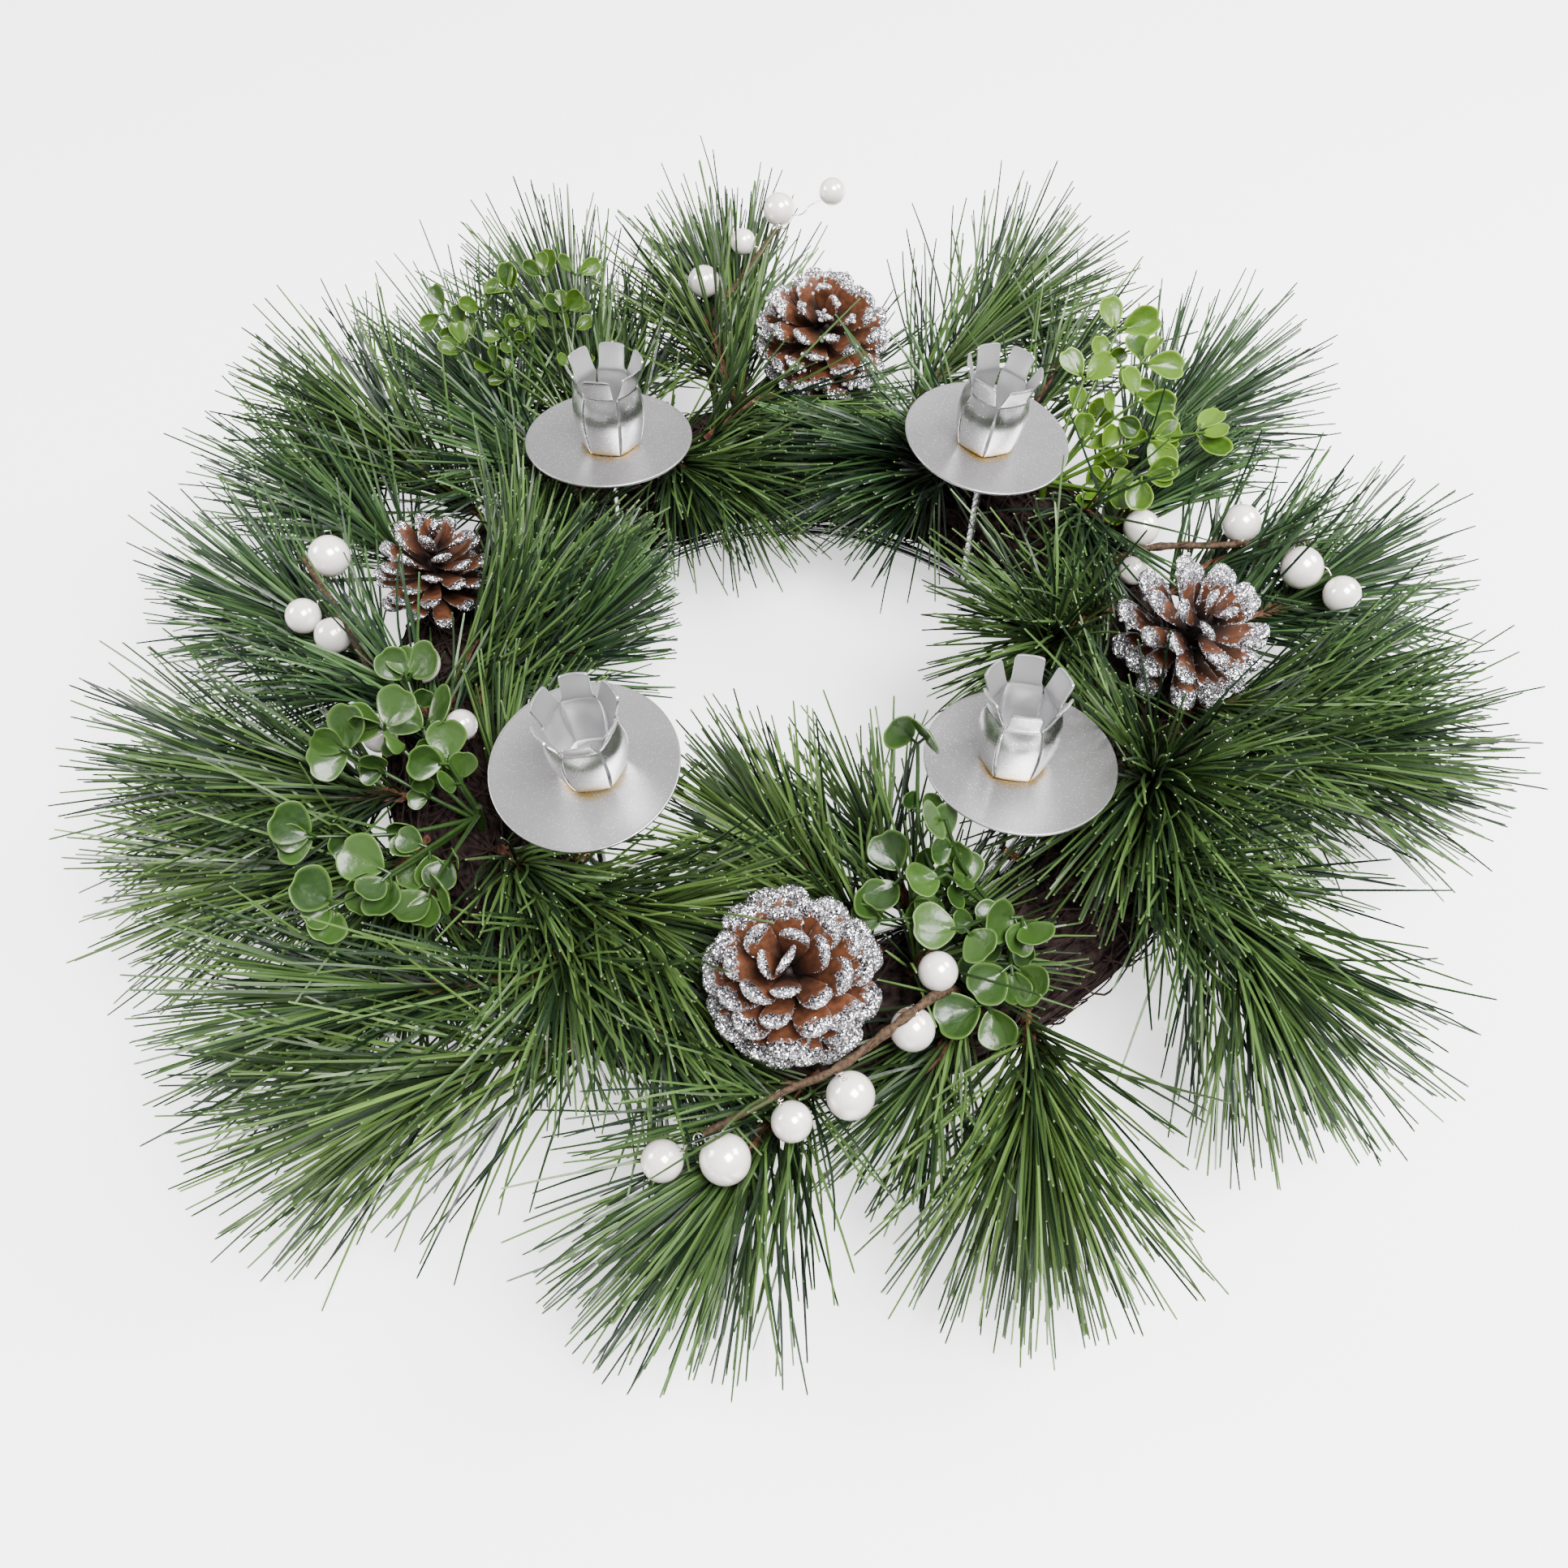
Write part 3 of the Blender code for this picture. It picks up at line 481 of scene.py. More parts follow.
class Wiring:
    """The nodes of one tree and the links between them."""

    def __init__(self, tree: bpy.types.NodeTree) -> None:
        """Hold a tree.

        Args:
            tree: the one that the nodes are made in.
        """
        self.tree = tree

    def node(self, kind: str, **values: object) -> bpy.types.Node:
        """Add a node.

        Args:
            kind: the node's type.
            values: plain values for its inputs, with _ for a space.

        Returns:
            The node.
        """
        node = self.tree.nodes.new(kind)
        for key, value in values.items():
            node.inputs[key.replace("_", " ")].default_value = value
        return node

    def link(self, source: Socket, target: Socket) -> None:
        """Link two sockets.

        Args:
            source: the output.
            target: the input.
        """
        self.tree.links.new(source, target)

    def feed(self, target: Socket, source: Socket | Point | float) -> None:
        """Give an input its plain value, or link a socket to it.

        Args:
            target: the input.
            source: a number, a colour, a direction or a socket.
        """
        if isinstance(source, Socket):
            self.link(source, target)
        elif isinstance(source, tuple):
            target.default_value = (*source, 1.0)[: len(target.default_value)]
        else:
            target.default_value = source

    def vector(self, kind: str, first: Socket, second: Socket | Point | None = None) -> Socket:
        """Work out a direction, or the distance of two places.

        Args:
            kind: the sum.
            first: a socket.
            second: a socket or a direction, if the sum has a second.

        Returns:
            The socket with the result.
        """
        node = self.node("ShaderNodeVectorMath")
        node.operation = kind
        self.feed(node.inputs[0], first)
        if second is not None:
            self.feed(node.inputs["Scale" if kind == "SCALE" else 1], second)
        return node.outputs["Value" if kind == "DISTANCE" else "Vector"]

    def object_place(self) -> Socket:
        """The place on the piece that is shaded."""
        return self.node("ShaderNodeTexCoord").outputs["Object"]


class Groups:
    """The shader node groups that several finishes share, each built once."""

    _made: dict[str, bpy.types.NodeTree] = {}

    @classmethod
    def _new(
        cls, name: str, inputs: dict[str, float], outputs: dict[str, str]
    ) -> tuple[Wiring, bpy.types.Node, bpy.types.Node]:
        """Start a group.

        Args:
            name: the group's name.
            inputs: its number inputs and their values.
            outputs: its outputs and their socket types.

        Returns:
            Its wiring, its input node and its output node.
        """
        tree = bpy.data.node_groups.new(name, "ShaderNodeTree")
        for key, value in inputs.items():
            socket = tree.interface.new_socket(key, in_out="INPUT", socket_type="NodeSocketFloat")
            socket.default_value = value
        for key, kind in outputs.items():
            tree.interface.new_socket(key, in_out="OUTPUT", socket_type=kind)
        cls._made[name] = tree
        return Wiring(tree), tree.nodes.new("NodeGroupInput"), tree.nodes.new("NodeGroupOutput")

    @classmethod
    def flecks(cls) -> bpy.types.NodeTree:
        """Tiny flat cells that each face their own way, as glitter does.

        Returns:
            A group that puts out a random value and a normal for each cell.
        """
        if "flecks" not in cls._made:
            kinds = {"Value": "NodeSocketFloat", "Normal": "NodeSocketVector"}
            wiring, given, out = cls._new("flecks", {"Scale": 1200.0, "Tilt": 1.0}, kinds)
            cells = wiring.node("ShaderNodeTexVoronoi")
            wiring.link(wiring.object_place(), cells.inputs["Vector"])
            wiring.link(given.outputs["Scale"], cells.inputs["Scale"])
            own = wiring.vector("SUBTRACT", cells.outputs["Color"], (0.5, 0.5, 0.5))
            tilt = wiring.vector("SCALE", own, given.outputs["Tilt"])
            face = wiring.node("ShaderNodeNewGeometry").outputs["Normal"]
            normal = wiring.vector("NORMALIZE", wiring.vector("ADD", face, tilt))
            split = wiring.node("ShaderNodeSeparateColor")
            wiring.link(cells.outputs["Color"], split.inputs[0])
            wiring.link(split.outputs[0], out.inputs["Value"])
            wiring.link(normal, out.inputs["Normal"])
        return cls._made["flecks"]

    @classmethod
    def mottle(cls) -> bpy.types.NodeTree:
        """Soft uneven patches.

        Returns:
            A group that puts out a value from 0 to 1.
        """
        if "mottle" not in cls._made:
            asked = {"Scale": 200.0, "Low": 0.35, "High": 0.65}
            wiring, given, out = cls._new("mottle", asked, {"Value": "NodeSocketFloat"})
            cloud = wiring.node("ShaderNodeTexNoise", Detail=5.0)
            spread = wiring.node("ShaderNodeMapRange")
            wiring.link(wiring.object_place(), cloud.inputs["Vector"])
            wiring.link(given.outputs["Scale"], cloud.inputs["Scale"])
            wiring.link(cloud.outputs["Fac"], spread.inputs["Value"])
            wiring.link(given.outputs["Low"], spread.inputs["From Min"])
            wiring.link(given.outputs["High"], spread.inputs["From Max"])
            wiring.link(spread.outputs["Result"], out.inputs["Value"])
        return cls._made["mottle"]


class Shader(Wiring):
    """One material under construction."""

    def __init__(self, name: str, **values: object) -> None:
        """Start a material.

        Args:
            name: the material's name.
            values: plain values for the shader's own sockets, with _ for a space.
        """
        self.material = bpy.data.materials.new(name)
        self.material.use_nodes = True
        super().__init__(self.material.node_tree)
        self.surface = self.tree.nodes["Principled BSDF"]
        for key, value in values.items():
            self.feed(self.surface.inputs[key.replace("_", " ")], value)

    def flecks(self, scale: float, tilt: float) -> bpy.types.Node:
        """The shared flecks, with this material's own values.

        Args:
            scale: how many flecks a metre has, about.
            tilt: how far they turn from the surface.

        Returns:
            The group's node.
        """
        node = self.node("ShaderNodeGroup")
        node.node_tree = Groups.flecks()
        self.feed(node.inputs["Scale"], scale)
        self.feed(node.inputs["Tilt"], tilt)
        return node

    def mottle(self, scale: float, low: float, high: float) -> Socket:
        """The shared soft patches, with this material's own values.

        Args:
            scale: how many patches a metre has, about.
            low: the part of them that is 0.
            high: where they are 1.

        Returns:
            The socket with a value from 0 to 1.
        """
        node = self.node("ShaderNodeGroup")
        node.node_tree = Groups.mottle()
        for key, value in (("Scale", scale), ("Low", low), ("High", high)):
            self.feed(node.inputs[key], value)
        return node.outputs[0]

    def link(self, source: Socket, target: Socket | str) -> None:
        """Link two sockets, or a socket and one of the surface's own.

        Args:
            source: the output.
            target: the input, or the name of the surface's input.
        """
        super().link(source, self.surface.inputs[target] if isinstance(target, str) else target)

    def value(self, name: str) -> Socket:
        """A number stored on the mesh's points.

        Args:
            name: the attribute's name.

        Returns:
            The socket with the number.
        """
        node = self.node("ShaderNodeAttribute")
        node.attribute_name = name
        return node.outputs["Fac"]

    def ramp(self, source: Socket, stops: Sequence[tuple[float, Color]]) -> Socket:
        """Turn a number into a colour.

        Args:
            source: the number.
            stops: places from 0 to 1, each with its colour.

        Returns:
            The socket with the colour.
        """
        node = self.node("ShaderNodeValToRGB")
        marks = node.color_ramp.elements
        while len(marks) < len(stops):
            marks.new(0.5)
        for mark, (place, color) in zip(marks, stops):
            mark.position = place
            mark.color = (*color, 1.0)
        self.link(source, node.inputs["Fac"])
        return node.outputs["Color"]

    def mask(self, source: Socket, low: float, high: float) -> Socket:
        """Turn a number into a mask, black up to one value and white from another.

        Args:
            source: the number.
            low: where the black ends.
            high: where the white begins.

        Returns:
            The socket with the mask.
        """
        return self.ramp(source, ((low, BLACK), (high, WHITE)))

    def mix(
        self,
        factor: Socket | float,
        first: Socket | Color,
        second: Socket | Color,
        blend: str = "MIX",
    ) -> Socket:
        """Mix two colours.

        Args:
            factor: how much of the second.
            first: a colour or a socket.
            second: a colour or a socket.
            blend: how they are mixed.

        Returns:
            The socket with the mixed colour.
        """
        node = self.node("ShaderNodeMix")
        node.data_type = "RGBA"
        node.blend_type = blend
        for index, source in ((0, factor), (6, first), (7, second)):
            self.feed(node.inputs[index], source)
        return node.outputs[2]

    def math(self, kind: str, first: Socket | float, second: Socket | float) -> Socket:
        """Work a number out from two.

        Args:
            kind: the sum.
            first: a socket or a number.
            second: a socket or a number.

        Returns:
            The socket with the result, kept from 0 to 1.
        """
        node = self.node("ShaderNodeMath")
        node.operation = kind
        node.use_clamp = True
        self.feed(node.inputs[0], first)
        self.feed(node.inputs[1], second)
        return node.outputs[0]

    def bump(self, height: Socket, strength: float, distance: float) -> None:
        """Raise the surface a little by a height.

        Args:
            height: the socket with the height.
            strength: from 0 to 1.
            distance: in metres.
        """
        node = self.node("ShaderNodeBump", Strength=strength, Distance=distance)
        self.link(height, node.inputs["Height"])
        self.link(node.outputs[0], "Normal")


@dataclass(frozen=True)
class NeedleFinish:
    """Satin plastic needles, each with its own tone, darkened towards their roots as painted shade, and
    paler where they were cut.
    """

    tone: Tone
    dark: Color
    bright: Color
    cut: Color = (0.11, 0.17, 0.06)

    def build(self) -> Material:
        """Make the material.

        Returns:
            The finished material.
        """
        shader = Shader(self.tone.value, Specular_IOR_Level=0.22)
        middle = tuple((a * 0.55 + b * 0.45) for a, b in zip(self.dark, self.bright))
        stops = ((0.0, self.dark), (0.45, middle), (1.0, self.bright))
        own = shader.ramp(shader.value("tint"), stops)
        along = shader.value("along")
        # Painted shade: each needle is darkened towards its root, deep in the spray.
        root = shader.ramp(along, ((0.0, (0.35, 0.3, 0.25)), (0.35, WHITE)))
        painted_root_shade = shader.mix(1.0, own, root, "MULTIPLY")
        tip = shader.mask(along, 0.99, 0.999)
        shader.link(shader.mix(tip, painted_root_shade, self.cut), "Base Color")
        rough = shader.node("ShaderNodeMapRange", To_Min=0.26, To_Max=0.44)
        shader.link(shader.mottle(900.0, 0.3, 0.7), rough.inputs["Value"])
        shader.link(rough.outputs["Result"], "Roughness")
        return shader.material


@dataclass(frozen=True)
class BarkFinish:
    """Dry bark or root, in streaks of two browns."""

    name: str
    dark: Color
    light: Color
    scale: float = 500.0
    roughness: float = 0.75
    gloss: float = 0.4

    def build(self) -> Material:
        """Make the material.

        Returns:
            The finished material.
        """
        shader = Shader(self.name, Roughness=self.roughness, Specular_IOR_Level=self.gloss)
        patches = shader.mottle(self.scale, 0.35, 0.68)
        color = shader.mix(patches, self.dark, self.light)
        shader.link(shader.mix(shader.value("tint"), color, self.light), "Base Color")
        shader.bump(patches, 0.6, 0.0004)
        return shader.material


@dataclass(frozen=True)
class MetalFinish:
    """Silvered steel with fine sparkling specks, a brown stain near a weld, or an inside painted darker
    as shade and made duller.
    """

    name: str
    color: Color
    roughness: float
    metallic: float
    specks: float
    stain: tuple[Point, float, float] | None = None
    painted_shade_inside: bool = False

    def build(self) -> Material:
        """Make the material.

        Returns:
            The finished material.
        """
        shader = Shader(self.name, Metallic=self.metallic)
        flecks = shader.flecks(3600.0, self.specks)
        low = tuple(c * 0.93 for c in self.color)
        color = shader.mix(shader.mottle(90.0, 0.3, 0.7), low, self.color)
        if self.stain:
            middle, inner, outer = self.stain
            near = shader.node("ShaderNodeMapRange", From_Min=outer, From_Max=inner)
            away = shader.vector("DISTANCE", shader.object_place(), middle)
            shader.link(away, near.inputs["Value"])
            blots = shader.mottle(350.0, 0.2, 0.55)
            mask = shader.math("MULTIPLY", near.outputs["Result"], blots)
            color = shader.mix(mask, color, (0.48, 0.34, 0.13))
        spark = shader.mask(flecks.outputs["Value"], 0.93, 0.95)
        color = shader.mix(spark, color, tuple(min(1.0, c * 1.8) for c in self.color))
        smoother = shader.ramp(spark, ((0.0, WHITE), (1.0, (0.8, 0.8, 0.8))))
        rough = shader.math("MULTIPLY", smoother, self.roughness)
        # Painted shade inside the cup: the inner faces take a darker plain colour, and less metal and
        # more roughness.
        if self.painted_shade_inside:
            inner = shader.value("inner")
            color = shader.mix(inner, color, (0.47, 0.467, 0.475))
            dull = shader.math("MULTIPLY", inner, 0.2)
            shader.link(shader.math("SUBTRACT", 1.0, dull), "Metallic")
            rough = shader.math("ADD", rough, shader.math("MULTIPLY", dull, 0.4))
        shader.link(color, "Base Color")
        shader.link(rough, "Roughness")
        shader.link(flecks.outputs["Normal"], "Normal")
        return shader.material


@dataclass(frozen=True)
class ConeFinish:
    """Dry brown scales, darkened towards their roots as painted shade, with a silver crust of glitter
    where the mesh says.
    """

    name: str
    wood: Color
    light_wood: Color
    bare: float

    def build(self) -> Material:
        """Make the material.

        Returns:
            The finished material.
        """
        shader = Shader(self.name, Specular_IOR_Level=0.22)
        wood = shader.mix(shader.mottle(420.0, 0.3, 0.7), self.wood, self.light_wood)
        # Painted shade: the wood darkens towards the scales' roots and the spindle, deep in the cone.
        painted_root_shade = shader.ramp(shader.value("along"), ((0.2, (0.06, 0.045, 0.04)), (0.7, WHITE)))
        wood = shader.mix(1.0, wood, painted_root_shade, "MULTIPLY")
        # The crust and a ragged noise are added up without a limit, and then halved.
        sum_of = shader.node("ShaderNodeMath")
        shader.link(shader.value("crust"), sum_of.inputs[0])
        shader.link(shader.mottle(480.0, 0.15, 0.85), sum_of.inputs[1])
        half = shader.math("MULTIPLY", sum_of.outputs[0], 0.5)
        low = (0.5 + self.bare) / 2
        mask = shader.mask(half, low - 0.01, low + 0.03)
        flecks = shader.flecks(2800.0, 1.4)
        silver = shader.ramp(
            flecks.outputs["Value"], ((0.0, (0.2, 0.19, 0.215)), (0.8, (0.74, 0.72, 0.76)))
        )
        shader.link(shader.mix(mask, wood, silver), "Base Color")
        shader.link(mask, "Metallic")
        rough = shader.mix(mask, (0.62,) * 3, (0.24,) * 3)
        shader.link(rough, "Roughness")
        face = shader.node("ShaderNodeNewGeometry")
        shader.link(shader.mix(mask, face.outputs["Normal"], flecks.outputs["Normal"]), "Normal")
        return shader.material


@dataclass(frozen=True)
class GlitterFinish:
    """Loose bright grains of glitter, each of its own brightness."""

    name: str = "silver_glitter"

    def build(self) -> Material:
        """Make the material.

        Returns:
            The finished material.
        """
        shader = Shader(self.name, Metallic=1.0, Roughness=0.22)
        tint = shader.value("tint")
        stops = ((0.0, (0.36, 0.345, 0.38)), (0.6, (0.72, 0.71, 0.75)), (1.0, WHITE))
        shader.link(shader.ramp(tint, stops), "Base Color")
        return shader.material


@dataclass(frozen=True)
class BeadFinish:
    """Small clear round drops."""

    name: str = "clear_drops"

    def build(self) -> Material:
        """Make the material.

        Returns:
            The finished material.
        """
        shader = Shader(self.name, Roughness=0.05, Transmission_Weight=0.55, IOR=1.5)
        tint = shader.value("tint")
        stops = ((0.0, (0.75, 0.75, 0.78)), (1.0, WHITE))
        shader.link(shader.ramp(tint, stops), "Base Color")
        return shader.material


@dataclass(frozen=True)
class PearlFinish:
    """Ivory pearl, brightest where it faces the view as a painted highlight, and darker and rosier
    towards its edge as painted shade.
    """

    name: str = "pearl"

    def build(self) -> Material:
        """Make the material.

        Returns:
            The finished material.
        """
        shader = Shader(
            self.name,
            Roughness=0.2,
            Metallic=0.25,
            Coat_Weight=1.0,
            Coat_Roughness=0.04,
            Subsurface_Weight=0.15,
            Subsurface_Scale=0.002,
        )
        # Painted highlight and shade: the colour is brightest where the pearl faces the view and darkest
        # at its edge.
        facing = shader.node("ShaderNodeLayerWeight", Blend=0.35)
        stops = (
            (0.0, (0.97, 0.92, 0.87)),
            (0.35, (0.88, 0.81, 0.76)),
            (0.75, (0.64, 0.55, 0.51)),
            (1.0, (0.42, 0.35, 0.32)),
        )
        painted_highlight_and_shade = shader.ramp(facing.outputs["Facing"], stops)
        color = shader.mix(shader.mottle(160.0, 0.3, 0.7), painted_highlight_and_shade, (0.93, 0.87, 0.82))
        shader.link(color, "Base Color")
        return shader.material


@dataclass(frozen=True)
class LeafFinish:
    """Glossy plastic leaf, yellower at its rim, each with its own shade."""

    tone: LeafTone
    dark: Color
    light: Color
    rim: Color

    def build(self) -> Material:
        """Make the material.

        Returns:
            The finished material.
        """
        shader = Shader(
            self.tone.value,
            Roughness=0.32,
            Specular_IOR_Level=0.3,
            Coat_Weight=0.2,
            Coat_Roughness=0.12,
        )
        own = shader.mix(shader.value("tint"), self.dark, self.light)
        patches = shader.math("MULTIPLY", shader.mottle(300.0, 0.3, 0.7), 0.35)
        shaded = shader.mix(patches, own, self.light)
        edge = shader.mask(shader.value("rim"), 0.35, 0.95)
        shader.link(shader.mix(edge, shaded, self.rim), "Base Color")
        shader.bump(shader.mottle(420.0, 0.2, 0.8), 0.45, 0.0003)
        return shader.material


class Obstacles:
    """The finished solids that foliage keeps clear of."""

    def __init__(self, prefixes: tuple[str, ...]) -> None:
        """Read the objects.

        Args:
            prefixes: the starts of the names of the objects to keep clear of.
        """
        points: list[Vector] = []
        faces: list[tuple[int, ...]] = []
        for obj in bpy.data.objects:
            if obj.type == "MESH" and obj.name.startswith(prefixes):
                first = len(points)
                points += [v.co.copy() for v in obj.data.vertices]
                faces += [tuple(first + v for v in f.vertices) for f in obj.data.polygons]
        self.tree = BVHTree.FromPolygons(points, faces)

    def hidden_by(self, run: Sequence[Vector], reach: float) -> bool:
        """Whether a run of points stands between a solid and the camera.

        Args:
            run: places in metres.
            reach: how far behind the run a solid counts, in metres.

        Returns:
            True where it hides one.
        """
        eye = CENTRE + (Vector(CAMERA_PLACE) + UP * WIRE_HEIGHT) * MM
        return any(self.tree.ray_cast(p, (p - eye).normalized(), reach)[0] for p in run)

    def blocks(self, run: Sequence[Vector], margin: float) -> bool:
        """Whether a run of points goes through a solid, or nearer to one than the margin.

        Args:
            run: places in metres.
            margin: metres.

        Returns:
            True where it does.
        """
        for a, b in zip(run, run[1:]):
            way = b - a
            if self.tree.ray_cast(a, way.normalized(), way.length)[0] is not None:
                return True
        return any(self.tree.find_nearest(p)[3] < margin for p in run)


@dataclass
class RootRing:
    """Fine roots wound round a ring, with loose rootlets that stand out of it."""

    strands: int = 90
    thicknesses: tuple[float, ...] = (1.25, 0.9, 0.6)
    steps: int = 110
    rootlets: int = 640

    def skin(self, angle: float, section: float, depth: float = 0.0) -> Vector:
        """A place on the ring's skin, or under it.

        Args:
            angle: round the wreath, in radians.
            section: round the tube, in radians, 0 outward and a quarter turn up.
            depth: millimetres under the skin.

        Returns:
            The place, kept above the table.
        """
        ridges = math.sin(5 * section + 7 * angle) + 0.6 * math.sin(3 * section - 11 * angle)
        radius = ROOT_TUBE_RADIUS + 0.7 * ridges - depth
        out = ROOT_RING_RADIUS + radius * math.cos(section)
        rise = max(2.0, ROOT_TUBE_HEIGHT + radius * math.sin(section))
        return at(out * math.cos(angle), out * math.sin(angle), rise)

    def core(self) -> Piece:
        """The dark ring under the roots.

        Returns:
            Its mesh.
        """
        ring = start(
            "root_core",
            TORUS,
            major_radius=ROOT_RING_RADIUS * MM,
            minor_radius=(ROOT_TUBE_RADIUS - 2.2) * MM,
            major_segments=96,
            minor_segments=24,
            location=(CENTRE.x, CENTRE.y, ROOT_TUBE_HEIGHT * MM),
        )
        with editing(ring):
            pick_verts(ring, lambda co: co.z < 1.5 * MM)
            middle = (CENTRE.x, CENTRE.y, 1.2 * MM)
            bpy.ops.transform.resize(value=(1, 1, 0.2), center_override=middle)
        set_values(ring, "tint", 0.0)
        return ring

    def wound_strands(self, rng: random.Random) -> list[Piece]:
        """The long roots, in three thicknesses.

        Args:
            rng: the draw.

        Returns:
            One object for each thickness.
        """
        made = []
        for group, thick in enumerate(self.thicknesses):
            paths = []
            for i in range(self.strands // 3):
                first = math.tau * (i + rng.random()) / (self.strands // 3)
                turns = rng.choice((-2, -1, -1, 1, 1, 2))
                wave, phase = rng.uniform(0.1, 0.5), rng.uniform(0, math.tau)
                depth = rng.uniform(0.4, 2.6)
                points, radii = [], []
                for k in range(self.steps):
                    angle = math.tau * k / self.steps
                    section = first + turns * angle + wave * math.sin(3 * angle + phase)
                    dip = depth + 0.7 * math.sin(9 * angle + phase)
                    points.append(self.skin(angle, section, dip))
                    radii.append(thick * (1 + 0.25 * math.sin(7 * angle + 2 * phase)))
                paths.append((points, radii))
            bundle = tubes(f"strands_{group}", paths, 0, closed=True)
            set_values(bundle, "tint", 0.12 * group)
            made.append(bundle)
        return made

    def loose_rootlets(self, rng: random.Random) -> Piece:
        """Thin curly roots that lie over the ring.

        Args:
            rng: the draw.

        Returns:
            One object that holds them all.
        """
        paths = []
        for _ in range(self.rootlets):
            angle, section = rng.uniform(0, math.tau), rng.uniform(-0.4, 3.6)
            heading, curl = rng.uniform(-1.2, 1.2), rng.uniform(-0.35, 0.35)
            length = rng.uniform(14, 58)
            lift = rng.uniform(0.2, 6.0) * rng.random()
            points = []
            for k in range(12):
                t = k / 11
                points.append(self.skin(angle, section, -0.6 - lift * math.sin(math.pi * t)))
                angle += math.cos(heading) * length / 11 / ROOT_RING_RADIUS
                section += math.sin(heading) * length / 11 / ROOT_TUBE_RADIUS
                heading += curl + rng.uniform(-0.3, 0.3)
            paths.append((points, [rng.uniform(0.18, 0.42)] * 12))
        loose = tubes("rootlets", paths, 0)
        set_values(loose, "tint", 0.5)
        return loose

    def build(self) -> None:
        """Make the ring and dress it."""
        rng = random.Random(7)
        parts = [self.core(), *self.wound_strands(rng), self.loose_rootlets(rng)]
        ring = join("wound_roots", parts)
        shade(ring, 60)
        finish = BarkFinish("root", (0.002, 0.0013, 0.0013), (0.03, 0.019, 0.017), 320.0, 0.85, 0.06)
        finish_piece(ring, finish.build(), "root_brown", "root_ring")


@dataclass
class CandleRing:
    """Two bright wires side by side, bound to each other and to the roots."""

    feet: Sequence[tuple[float, float]]
    tie_angles: tuple[float, ...] = (22.0, 90.0, 160.0, 218.0, 322.0)
    weld_radius: float = 2.3
    tie_turns: int = 3
    # Half the width and height of a tie's loops, and how much their sides are flattened.
    loop_half: tuple[float, float] = (3.75, 2.0)
    flattening: float = 1.3
    loop_wire: float = 0.38
    tail_wire: float = 0.33

    def wire(self, name: str, radius: float, node: str, steel: Material) -> None:
        """One wire ring, with the weld beads of the rods on the outer one.

        Args:
            name: the piece's name.
            radius: of the ring.
            node: the solid that it stands for.
            steel: its material.
        """
        ring = start(
            name,
            TORUS,
            major_radius=radius * MM,
            minor_radius=WIRE_RADIUS * MM,
            major_segments=200,
            minor_segments=12,
            location=(CENTRE.x, CENTRE.y, WIRE_HEIGHT * MM),
        )
        parts = [ring]
        for x, y in self.feet if radius == OUTER_WIRE_RADIUS else ():
            bead = start(
                "weld",
                SPHERE,
                segments=14,
                ring_count=9,
                radius=self.weld_radius * MM,
                location=at(x, y, WIRE_HEIGHT + 0.9),
            )
            with editing(bead):
                pick_verts(bead, lambda co: co.z > (WIRE_HEIGHT + 1.5) * MM)
                top = tuple(at(x, y, WIRE_HEIGHT + 2.5))
                bpy.ops.transform.resize(value=(0.7, 0.7, 1.2), center_override=top)
            parts.append(bead)
        ring = join(name, parts)
        shade(ring)
        finish_piece(ring, steel, "ring_steel", node)

    def tie(self, number: int, angle: float, copper: Material) -> None:
        """A few turns of thin copper wire round both wires, and its twisted tail to the roots.

        Args:
            number: of the tie.
            angle: round the wreath, in degrees.
            copper: its material.
        """
        turn = math.radians(angle)
        out = Vector((math.cos(turn), math.sin(turn), 0))
        side = Vector((-math.sin(turn), math.cos(turn), 0))
        between = (OUTER_WIRE_RADIUS + INNER_WIRE_RADIUS) / 2
        middle = CENTRE + out * between * MM + UP * WIRE_HEIGHT * MM
        loop = []
        steps = 18 * self.tie_turns
        wide, high = self.loop_half
        for k in range(steps + 1):
            a = math.tau * self.tie_turns * k / steps
            across = max(-1.0, min(1.0, self.flattening * math.cos(a))) * wide
            rise = max(-1.0, min(1.0, self.flattening * math.sin(a))) * high
            slide = (k / steps - 0.5) * 2.4
            loop.append(middle + (out * across + UP * rise + side * slide) * MM)
        paths = [(loop, [self.loop_wire] * len(loop))]
        low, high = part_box(f"ring_tie_{number}")
        corners = [Vector((x, y, 0)) for x in (low.x, high.x) for y in (low.y, high.y)]
        reach = max((corner - CENTRE).length for corner in corners)
        for phase in (0.0, math.pi):
            tail = []
            for k in range(25):
                t = k / 24
                place = CENTRE + out * ((99.5 * MM) * (1 - t) + (min(reach, 0.1105) + 0.003) * t)
                place = place + UP * (WIRE_HEIGHT + 1.2 * t) * MM
                a = t * 14 + phase
                tail.append(place + (side * math.cos(a) + UP * math.sin(a)) * 0.34 * MM)
            paths.append((tail, [self.tail_wire] * 25))
        wire = tubes(f"binding_wire_{number}", paths, 1)
        shade(wire)
        finish_piece(wire, copper, "tie_copper", f"ring_tie_{number}")

    def build(self) -> None:
        """Make both wires and the ties."""
        steel = MetalFinish("ring_steel", (0.78, 0.78, 0.8), 0.2, 1.0, 0.02).build()
        copper = MetalFinish("copper", (0.5, 0.26, 0.14), 0.28, 1.0, 0.03).build()
        self.wire("candle_wire_outer", OUTER_WIRE_RADIUS, "wire_ring_outer", steel)
        self.wire("candle_wire_inner", INNER_WIRE_RADIUS, "wire_ring_inner", steel)
        for number, angle in enumerate(self.tie_angles, 1):
            self.tie(number, angle, copper)


